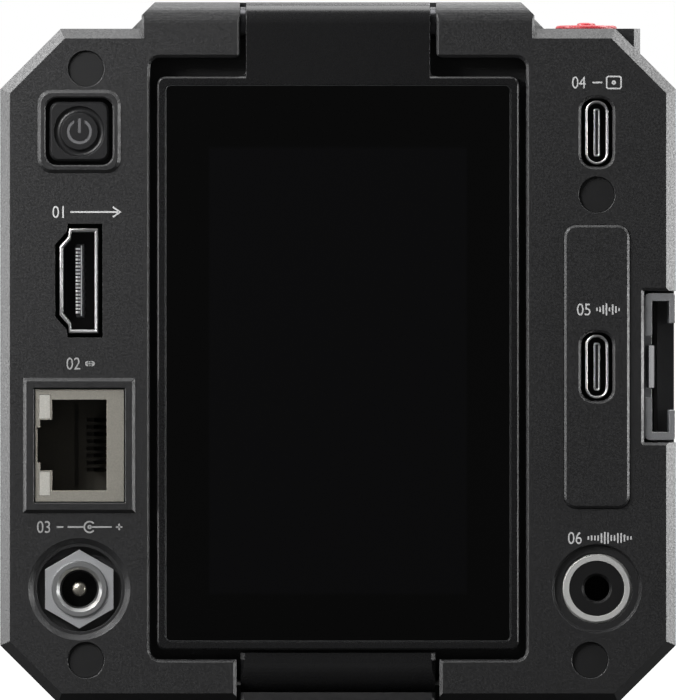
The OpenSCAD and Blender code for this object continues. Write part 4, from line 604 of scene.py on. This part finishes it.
class CAMERA_OT_sockets(bpy.types.Operator):
    """Finishes the video, network, power, audio and small sockets"""
    bl_idname = "camera.sockets"
    bl_label = "Sockets"

    def execute(self, context):
        # Stamped steel under nickel: bright, with lines of light along its rolled edges
        steel = worked_metal("stamped_nickel_steel", "#e6e6e6", 0.34, edge=0.14)
        wear(["video_shell", "upper_usb_shell", "lower_usb_shell"], steel)
        # Tinned steel: a warm, even satin grey
        wear(["lan_shell"], worked_metal("satin_tinned_steel", "#bdb9af", 0.5, 0.2, 0.06, 0.002))
        wear(["lan_insert"], moulded_plastic("dark_socket_insert", "#57534a", 0.5))
        # Contact wires: darker than the insert, because they stand in its shade
        wear(["lan_contacts"], worked_metal("shaded_contact_wire", "#1a1712", 0.45))
        # Window, tongues and jack bodies: milky and glossy, black and half matt, deep black
        wear(["lan_lights"], moulded_plastic("milky_light_window", "#b9b7b0", 0.25))
        wear(["video_tongue", "lens_contacts"], moulded_plastic("black_socket_tongue", "#1c1c1d", 0.4))
        wear(["upper_usb_tongue", "lower_usb_tongue"], moulded_plastic("black_tongue_core", "#1a1a1b", 0.4))
        for side in ("upper", "lower"):
            self.small_socket(side, steel)
        # Turned and plated brass: rings of light round the inlet's mouth, on its nut a plain satin
        inlet = middle("dc_sleeve")
        wear(["dc_sleeve"], turned_metal("turned_nickel_sleeve", "#c8c9ca", inlet, 0.36, 0.25))
        wear(["dc_nut"], worked_metal("bright_nickel_nut", "#d4d5d7", 0.5, 0.1))
        pin = turned_metal("turned_nickel_pin", "#d2cdc0", inlet, 0.3, 0.1)
        wear(["dc_pin"], pin)
        black = moulded_plastic("black_jack_body", "#0d0d0e", 0.45)
        self.inlet(inlet, black, pin)
        self.video_contacts(steel)
        self.video_lip(steel)
        wear(["aux_ring"], turned_metal("turned_nickel_ring", "#e6e6e4", middle("aux_ring"), 0.64, 0.12))
        wear(["aux_socket"], black)
        return {"FINISHED"}

    def small_socket(self, side, metal):
        """The rolled lip of a small socket's shell and the plated edge round its tongue.

        Each is a half circle carried round a rounded rectangle. The lip's corners are all but half
        its width, so that its ends are round."""
        shell, tongue = side + "_usb_shell", side + "_usb_tongue"
        x, z, face = span(shell, 0), span(shell, 2), span(shell, 1)[0]
        r = 0.16 * MM
        loop = rounded_rectangle((x[0] + r, x[1] - r), (z[0] + r, z[1] - r), (x[1] - x[0]) / 2 - 1.02 * r,
                                 face, 12)
        piece(side + "_socket_lip", swept(loop, half_round(r), OUTWARD, closed=True), "camera_body",
              metal)
        x, z, face = sum(x) / 2, sum(z) / 2, span(tongue, 1)[0]
        half_w, half_h, corner = 0.32 * MM, 3.28 * MM, 0.2 * MM
        loop = rounded_rectangle((x - half_w, x + half_w), (z - half_h, z + half_h), corner, face, 6)
        piece(side + "_tongue_edge", swept(loop, half_round(0.13 * MM), OUTWARD, closed=True), "camera_body",
              metal)

    def inlet(self, centre, black, pin):
        """A black cup inside the power inlet's sleeve and the rounded tip of its pin.

        The cup is a closed profile turned round the sleeve's axis, and the tip is the arc
        (r sin t, h cos t) for t from 0 to 90 degrees turned round the same axis."""
        mouth, tip = -span("dc_sleeve", 1)[0], -span("dc_pin", 1)[0]
        base = (centre[0], 0, centre[2])
        # Radius and depth under the sleeve's mouth in mm: rim, wall, floor round the pin, outside
        cup = np.array([(2.74, 0.45), (2.56, 0.55), (2.5, 5), (1.06, 5), (1.06, 5.4), (2.74, 5.4)]) * MM
        cup[:, 1] = mouth - cup[:, 1]
        piece("inlet_liner", turned(cup, base, OUTWARD), "camera_body", black)
        # The tip's arc starts just off the axis, and its skirt reaches down into the pin
        r, rise, hole, skirt = 0.98 * MM, 0.55 * MM, 0.02, 0.1 * MM
        t = np.linspace(hole, np.pi / 2, 10)
        dome = np.stack([r * np.sin(t), tip + rise * np.cos(t)], 1).tolist()
        dome += [(r, tip - skirt), (hole * MM, tip - skirt)]
        piece("pin_tip", turned(dome, base, OUTWARD, 40), "camera_body", pin)

    def video_contacts(self, metal):
        """Nineteen contact springs and a rail on the video tongue.

        Contact k sits at z = middle + (k - 9) pitch. Each is an arch of height h sin(pi u) for u in 0..1
        along x, given a thickness by the profile it is swept with."""
        low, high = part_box("video_tongue")
        aside = 0.15 * MM
        x, face, z = (low[0] + high[0]) / 2 - aside, low[1], (low[2] + high[2]) / 2
        count, pitch, length, height = 19, 0.5 * MM, 0.62 * MM, 0.12 * MM
        half_w, under, over = 0.15 * MM, -0.02 * MM, 0.06 * MM
        u = np.linspace(0, 1, 7)
        profile = [(under, -half_w), (over, -half_w), (over, half_w), (under, half_w)]
        parts = []
        for k in range(count):
            arch = np.stack([x + (u - 0.5) * length, face - height * np.sin(np.pi * u),
                             np.full(len(u), z + (k - count // 2) * pitch)], 1)
            parts.append(swept(arch, profile, (0, 0, 1)))
        # The rail beside them: its foot and ridge half widths, height, half length and distance
        foot, ridge, rise, reach, away = np.array([0.11, 0.06, 0.08, 5, 0.5]) * MM
        rail = [(-foot, 0), (foot, 0), (ridge, rise), (-ridge, rise)]
        parts.append(swept([(x + away, face, z - reach), (x + away, face, z + reach)], rail, OUTWARD))
        piece("video_contacts", joined(*parts), "camera_body", metal)

    def video_lip(self, metal):
        """The rolled lip of the video socket's shell.

        It is a half circle carried round the shell's outline, a rectangle whose two left corners
        step in, drop and slant back out."""
        x, z, face = span("video_shell", 0), span("video_shell", 2), span("video_shell", 1)[0]
        r = 0.2 * MM
        x0, x1, z0, z1 = x[0] + r, x[1] - r, z[0] + r, z[1] - r
        step, lean, drop, slant = 1.32 * MM, 0.1 * MM, 1.1 * MM, 1.42 * MM
        upper = [(x0 + step, z1), (x0 + step - lean, z1 - drop), (x0, z1 - drop - slant)]
        lower = [(x0, z0 + drop + slant), (x0 + step - lean, z0 + drop)]
        corners = [(x0 + step, z0), (x1, z0), (x1, z1), *upper, *lower]
        piece("video_lip", swept([(a, face, b) for a, b in corners], half_round(r), OUTWARD, closed=True),
              "camera_body", metal)


class CAMERA_OT_shoe(bpy.types.Operator):
    """Finishes the cold shoe and its leaf spring"""
    bl_idname = "camera.shoe"
    bl_label = "Cold shoe"

    def execute(self, context):
        # Blasted bare metal: a satin grey whose softened edges catch the light
        wear(["cold_shoe"], worked_metal("bead_blasted_shoe_metal", "#b2b3b5", 0.54, 0.2, 0.08, 0.006,
                                         edge=0.12))
        # Spring steel: darker and smoother, with rolling marks along it
        wear(["shoe_spring"], worked_metal("dark_spring_steel", "#5b5c5f", 0.3, stretch=(1, 1, 8)))
        return {"FINISHED"}


class CAMERA_OT_fasteners(bpy.types.Operator):
    """Finishes screws, bushes and the lens lock's metal"""
    bl_idname = "camera.fasteners"
    bl_label = "Fasteners"

    def execute(self, context):
        # Blackened steel: dark grey and half glossy, so that the heads' edges show
        wear(["foot_screws", "rail_screws", "screen_screws", "cover_screws", "front_screws", "shoe_screws",
              "board_screws"], worked_metal("black_zinc_screw_steel", "#4b4b4d", 0.34, 0.1))
        # Plated brass and ground steel: warm and cool satin metals
        wear(["tripod_bush", "top_bush"], worked_metal("nickel_plated_brass", "#b7b2a4", 0.3, 0.1))
        wear(["lock_plate", "lock_pin"], worked_metal("ground_lock_steel", "#b0b0ae", 0.25))
        return {"FINISHED"}


class CAMERA_OT_boards(bpy.types.Operator):
    """Finishes the boards, the sensor and the heat sink"""
    bl_idname = "camera.boards"
    bl_label = "Boards"

    def execute(self, context):
        wear(["screen_board", "button_board", "left_port_board", "right_port_board", "board_links",
              "main_board", "sensor_board"], solder_mask())
        # Extruded aluminium: pale, with drawing marks along its fins
        wear(["heat_sink"], worked_metal("extruded_aluminium", "#9fa1a3", 0.38, 0.15, stretch=(8, 8, 1)))
        wear(["sensor_package"], coated_sensor_glass())
        return {"FINISHED"}


class CAMERA_OT_lens_mount(bpy.types.Operator):
    """Finishes the lens ring"""
    bl_idname = "camera.lens_mount"
    bl_label = "Lens mount"

    def execute(self, context):
        # Chromed brass: bright, with turned rings that draw out the highlights
        wear(["lens_ring"], turned_metal("turned_chromed_brass", "#c6c8ca", middle("lens_ring"), 0.16, 0.25))
        return {"FINISHED"}


class CAMERA_OT_marks(bpy.types.Operator):
    """Prints plain port numbers and small signs beside the sockets"""
    bl_idname = "camera.marks"
    bl_label = "Port numbers"

    def execute(self, context):
        marks = settings().marks
        bright = printed_ink("bright_port_ink", marks.bright)
        dim = printed_ink("dim_port_ink", marks.dim)
        # Number, left end, right end and middle height of the mark in mm, its sign, ink and face
        rows = [("01", -40.541, -30.956, 73.556, "arrow", bright, REAR_Y),
                ("02", -38.553, -34.79, 52.0288, "linked_rings", dim, REAR_Y),
                ("03", -42.742, -30.601, 28.826, "polarity", dim, REAR_Y),
                ("04", 33.228, 40.186, 91.945, "framed_dot", bright, REAR_Y),
                ("05", 33.938, 39.902, 59.711, "wave", bright, RAISED_Y),
                ("06", 32.66, 41.606, 27.264, "wave", bright, REAR_Y)]
        for number, left, right, height, sign, ink, face in rows:
            self.print_mark(number, (left * MM, right * MM), height * MM, sign, ink, face, marks)
        return {"FINISHED"}

    def print_mark(self, number, x, z, sign, ink, face, marks):
        """Digits from the left end and a sign up to the right end, as one thin printed piece each.

        A digit's outline (u, v) goes to x = left + 0.86 k u and z = middle - h/2 + k v, where k scales
        it to the height h, so the digits are a little narrower than the font's."""
        h, thick, narrow = marks.digit_height, marks.ink_height, 0.86
        text = bpy.data.curves.new("digits", "FONT")
        text.body = number
        text.extrude = thick / 2
        holder = bpy.data.objects.new("digits", text)
        bpy.context.scene.collection.objects.link(holder)
        bpy.context.view_layer.update()
        mesh = bpy.data.meshes.new_from_object(holder.evaluated_get(bpy.context.evaluated_depsgraph_get()))
        bpy.data.objects.remove(holder)
        points = np.empty((len(mesh.vertices), 3), np.float32)
        mesh.vertices.foreach_get("co", points.ravel())
        points = points.astype(float)
        faces = [list(p.vertices) for p in mesh.polygons]
        bpy.data.meshes.remove(mesh)
        low, high = points.min(0), points.max(0)
        points[:, :2] = (points[:, :2] - low[:2]) * h / (high[1] - low[1]) * [narrow, 1]
        width = points[:, 0].max()
        flat = np.stack([x[0] + points[:, 0], face - points[:, 2] - thick / 2, z - h / 2 + points[:, 1]], 1)
        piece("number_" + number, (flat, faces), "camera_body", ink, 20)
        stroke, space = 0.13 * h, 0.55 * h
        strip = [[-stroke / 2, 0], [stroke / 2, 0], [stroke / 2, thick], [-stroke / 2, thick]]
        paths = getattr(self, sign)((x[0] + width + space, x[1]), z, h, face)
        parts = [swept(path, strip, OUTWARD, closed) for path, closed in paths]
        piece("sign_" + number, joined(*parts), "camera_body", ink, 20)

    def arrow(self, x, z, h, y):
        """A bar with an arrow head that points away."""
        return [([[x[0], y, z], [x[1] - 0.1 * h, y, z]], False),
                ([[x[1] - 0.6 * h, y, z + 0.42 * h], [x[1], y, z], [x[1] - 0.6 * h, y, z - 0.42 * h]], False)]

    def linked_rings(self, x, z, h, y):
        """Three small rings in a row."""
        return [(arc_path(x[0] + (x[1] - x[0]) * u, z, 0.15 * h, 0, 345, y, 12), True)
                for u in (0.12, 0.5, 0.88)]

    def polarity(self, x, z, h, y):
        """Minus, an open ring with a dot, and plus, joined by bars."""
        c = (x[0] + x[1]) / 2
        return [([[x[0], y, z], [x[0] + 0.55 * h, y, z]], False),
                ([[x[0] + 0.9 * h, y, z], [c - 0.5 * h, y, z]], False),
                (arc_path(c, z, 0.45 * h, 40, 320, y), False),
                (arc_path(c, z, 0.12 * h, 0, 345, y, 12), True),
                ([[c + 0.12 * h, y, z], [x[1] - 0.9 * h, y, z]], False),
                ([[x[1] - 0.55 * h, y, z], [x[1], y, z]], False),
                ([[x[1] - 0.275 * h, y, z - 0.27 * h], [x[1] - 0.275 * h, y, z + 0.27 * h]], False)]

    def framed_dot(self, x, z, h, y):
        """A bar, then a square frame round a dot."""
        box = rounded_rectangle((x[1] - 1.2 * h, x[1]), (z - 0.5 * h, z + 0.5 * h), 0.15 * h, y, 4)
        return [([[x[0], y, z], [x[1] - 1.55 * h, y, z]], False), (box, True),
                (arc_path(x[1] - 0.6 * h, z, 0.12 * h, 0, 345, y, 12), True)]

    def wave(self, x, z, h, y):
        """Upright bars of a sound wave, u from 0 to 1 along it: a bar reaches
        h (0.14 + 0.4 sin(pi u) |cos(2.6 pi u)|) each way."""
        count = int((x[1] - x[0]) / (0.26 * h)) + 1
        u = np.linspace(0, 1, count)
        return [([[x[0] + v * (x[1] - x[0]), y, z - t], [x[0] + v * (x[1] - x[0]), y, z + t]], False)
                for v, t in zip(u, h * (0.14 + 0.4 * np.sin(np.pi * u) * np.abs(np.cos(2.6 * np.pi * u))))]


class CAMERA_OT_stage(bpy.types.Operator):
    """Builds the floor, the lamps, the white surroundings and the camera"""
    bl_idname = "camera.stage"
    bl_label = "Studio"

    def execute(self, context):
        self.floor()
        self.surroundings()
        studio = settings().studio
        # Each lamp's place, aim, power, width and height; the side lamps graze the rear face's edges
        centre, side, key = (0, 0, 0.055), studio.side_light, studio.key_light
        self.lamp("side_lamp_left", (-0.42, 0.01, 0.062), (0, 0.01, 0.062), 0.62 * side, 0.34, 0.12)
        self.lamp("side_lamp_right", (0.42, 0.01, 0.062), (0, 0.01, 0.062), side, 0.34, 0.12)
        self.lamp("high_lamp_left", (-0.4, 0.02, 0.46), centre, 1.2 * side, 0.24, 0.24)
        self.lamp("high_lamp_right", (0.4, 0.02, 0.46), centre, 1.05 * side, 0.24, 0.24)
        self.lamp("top_lamp", (0, 0, 0.5), centre, studio.top_light, 0.26, 0.26)
        self.lamp("key_lamp", (-0.2, -0.22, 0.22), (-0.01, -0.03, 0.055), key, 0.16, 0.16)
        self.lamp("front_lamp", (0.3, 0.62, 0.72), centre, 4 * key, 0.5, 0.5)
        self.camera(studio.lens)
        return {"FINISHED"}

    def floor(self):
        """A round pale floor a hair's breadth under the feet: point (i, j) = (r_i cos a_j, r_i sin a_j).

        It is pale to the camera and dark grey to all other rays, so that the satin faces, which
        mirror it, stay as dark as the real ones."""
        r = np.array([0.0, 0.2, 0.6, 1.2])
        a = np.linspace(0, 2 * np.pi, 64, endpoint=False)
        below = np.full((len(r), len(a)), -0.05 * MM)
        points = np.stack([np.outer(r, np.cos(a)), np.outer(r, np.sin(a)), below], 2)
        faces = grid_faces(len(r), len(a), close_columns=True)[:, ::-1]
        mesh = bpy.data.meshes.new("floor")
        mesh.from_pydata(points.reshape(-1, 3).tolist(), [], faces.tolist())
        obj = bpy.data.objects.new("floor", mesh)
        bpy.context.scene.collection.objects.link(obj)
        material, tree, shader = blank_material("pale_matt_floor")
        seen = add(tree, "ShaderNodeLightPath").outputs["Is Camera Ray"]
        grey = add(tree, "ShaderNodeMix", {"A": linear("#2c2c2c"), "B": linear("#d0d0d0")},
                   {"Factor": seen}, data_type="RGBA")
        tree.links.new(grey.outputs["Result"], shader.inputs["Base Color"])
        shader.inputs["Roughness"].default_value = 0.9
        shader.inputs["Emission Color"].default_value = (1, 1, 1, 1)
        glow = add(tree, "ShaderNodeMath", {1: 0.75}, {0: seen}, operation="MULTIPLY")
        tree.links.new(glow.outputs[0], shader.inputs["Emission Strength"])
        mesh.materials.append(material)

    def seen(self, tree):
        """1 for a ray from the camera, a reflection or a view through glass, and 0 for all others."""
        path = add(tree, "ShaderNodeLightPath")
        mirrored = add(tree, "ShaderNodeMath", links={0: path.outputs["Is Glossy Ray"],
                                                      1: path.outputs["Is Transmission Ray"]},
                       operation="MAXIMUM")
        return add(tree, "ShaderNodeMath", links={0: path.outputs["Is Camera Ray"], 1: mirrored.outputs[0]},
                   operation="MAXIMUM").outputs[0]

    def surroundings(self):
        """White to the camera and in reflections, apart from a dark cloth behind the camera, and a
        soft grey for all other light. The cloth fades out between y = -0.6 and 0.3 of the direction."""
        world = bpy.data.worlds.new("studio")
        bpy.context.scene.world = world
        world.use_nodes = True
        tree = world.node_tree
        tree.nodes.clear()
        path = add(tree, "ShaderNodeLightPath")
        place = add(tree, "ShaderNodeTexCoord")
        parts = add(tree, "ShaderNodeSeparateXYZ", links={0: place.outputs["Generated"]})
        cloth = add(tree, "ShaderNodeMapRange",
                    {"From Min": -0.6, "From Max": 0.3, "To Min": 0.06, "To Max": 1.0},
                    {"Value": parts.outputs["Y"]}, interpolation_type="SMOOTHSTEP")
        shown = add(tree, "ShaderNodeMath", links={0: path.outputs["Is Camera Ray"], 1: cloth.outputs[0]},
                    operation="MAXIMUM")
        strength = add(tree, "ShaderNodeMix", {"A": 0.25}, {"Factor": self.seen(tree), "B": shown.outputs[0]},
                       data_type="FLOAT")
        shade = add(tree, "ShaderNodeBackground", {"Color": (1, 1, 1, 1)}, {"Strength": strength.outputs[0]})
        add(tree, "ShaderNodeOutputWorld", links={"Surface": shade.outputs[0]})

    def lamp(self, name, place, aim, power, width, height):
        """A rectangular soft lamp that looks from place to aim."""
        data = bpy.data.lights.new(name, "AREA")
        data.shape = "RECTANGLE"
        data.size, data.size_y = width, height
        data.energy = power
        obj = bpy.data.objects.new(name, data)
        obj.location = place
        obj.rotation_euler = (Vector(aim) - Vector(place)).to_track_quat("-Z", "Y").to_euler()
        obj.visible_camera = False
        bpy.context.scene.collection.objects.link(obj)

    def camera(self, lens):
        """A camera far behind the rear face: distance = image height x focal length / sensor size."""
        data = bpy.data.cameras.new("camera")
        data.lens = lens
        data.sensor_width = 36
        data.sensor_fit = "AUTO"
        distance = IMAGE_H * PIXEL * data.lens / data.sensor_width
        data.clip_end = 100
        obj = bpy.data.objects.new("camera", data)
        obj.location = (0, REAR_Y - distance, (GROUND_ROW - IMAGE_H / 2) * PIXEL)
        obj.rotation_euler = (math.pi / 2, 0, 0)
        bpy.context.scene.collection.objects.link(obj)
        bpy.context.scene.camera = obj
        bpy.context.scene.view_settings.view_transform = "Standard"


class CAMERA_PT_panel(bpy.types.Panel):
    """Shows the streaming camera's steps and sizes"""
    bl_idname = "CAMERA_PT_panel"
    bl_label = "Streaming camera"
    bl_space_type = "VIEW_3D"
    bl_region_type = "UI"
    bl_category = "Streaming camera"

    def draw(self, context):
        for step in STEPS:
            self.layout.operator(step.bl_idname)
        for group in ("shell", "screen", "keys", "marks", "studio"):
            values = getattr(context.scene.streaming_camera, group)
            box = self.layout.box()
            for name in values.__annotations__:
                box.prop(values, name)


STEPS = (CAMERA_OT_shell, CAMERA_OT_screen, CAMERA_OT_keys, CAMERA_OT_sockets, CAMERA_OT_shoe,
         CAMERA_OT_fasteners, CAMERA_OT_boards, CAMERA_OT_lens_mount, CAMERA_OT_marks, CAMERA_OT_stage)
GROUPS = (ShellSizes, ScreenSizes, KeySizes, MarkSizes, StudioSizes, CameraSizes)


def register():
    for cls in (*GROUPS, *STEPS, CAMERA_PT_panel):
        bpy.utils.register_class(cls)
    bpy.types.Scene.streaming_camera = bpy.props.PointerProperty(type=CameraSizes)


def unregister():
    del bpy.types.Scene.streaming_camera
    for cls in reversed((*GROUPS, *STEPS, CAMERA_PT_panel)):
        bpy.utils.unregister_class(cls)


def main():
    register()
    for step in STEPS:
        group, name = step.bl_idname.split(".")
        getattr(getattr(bpy.ops, group), name)()


if __name__ == "__main__":
    main()
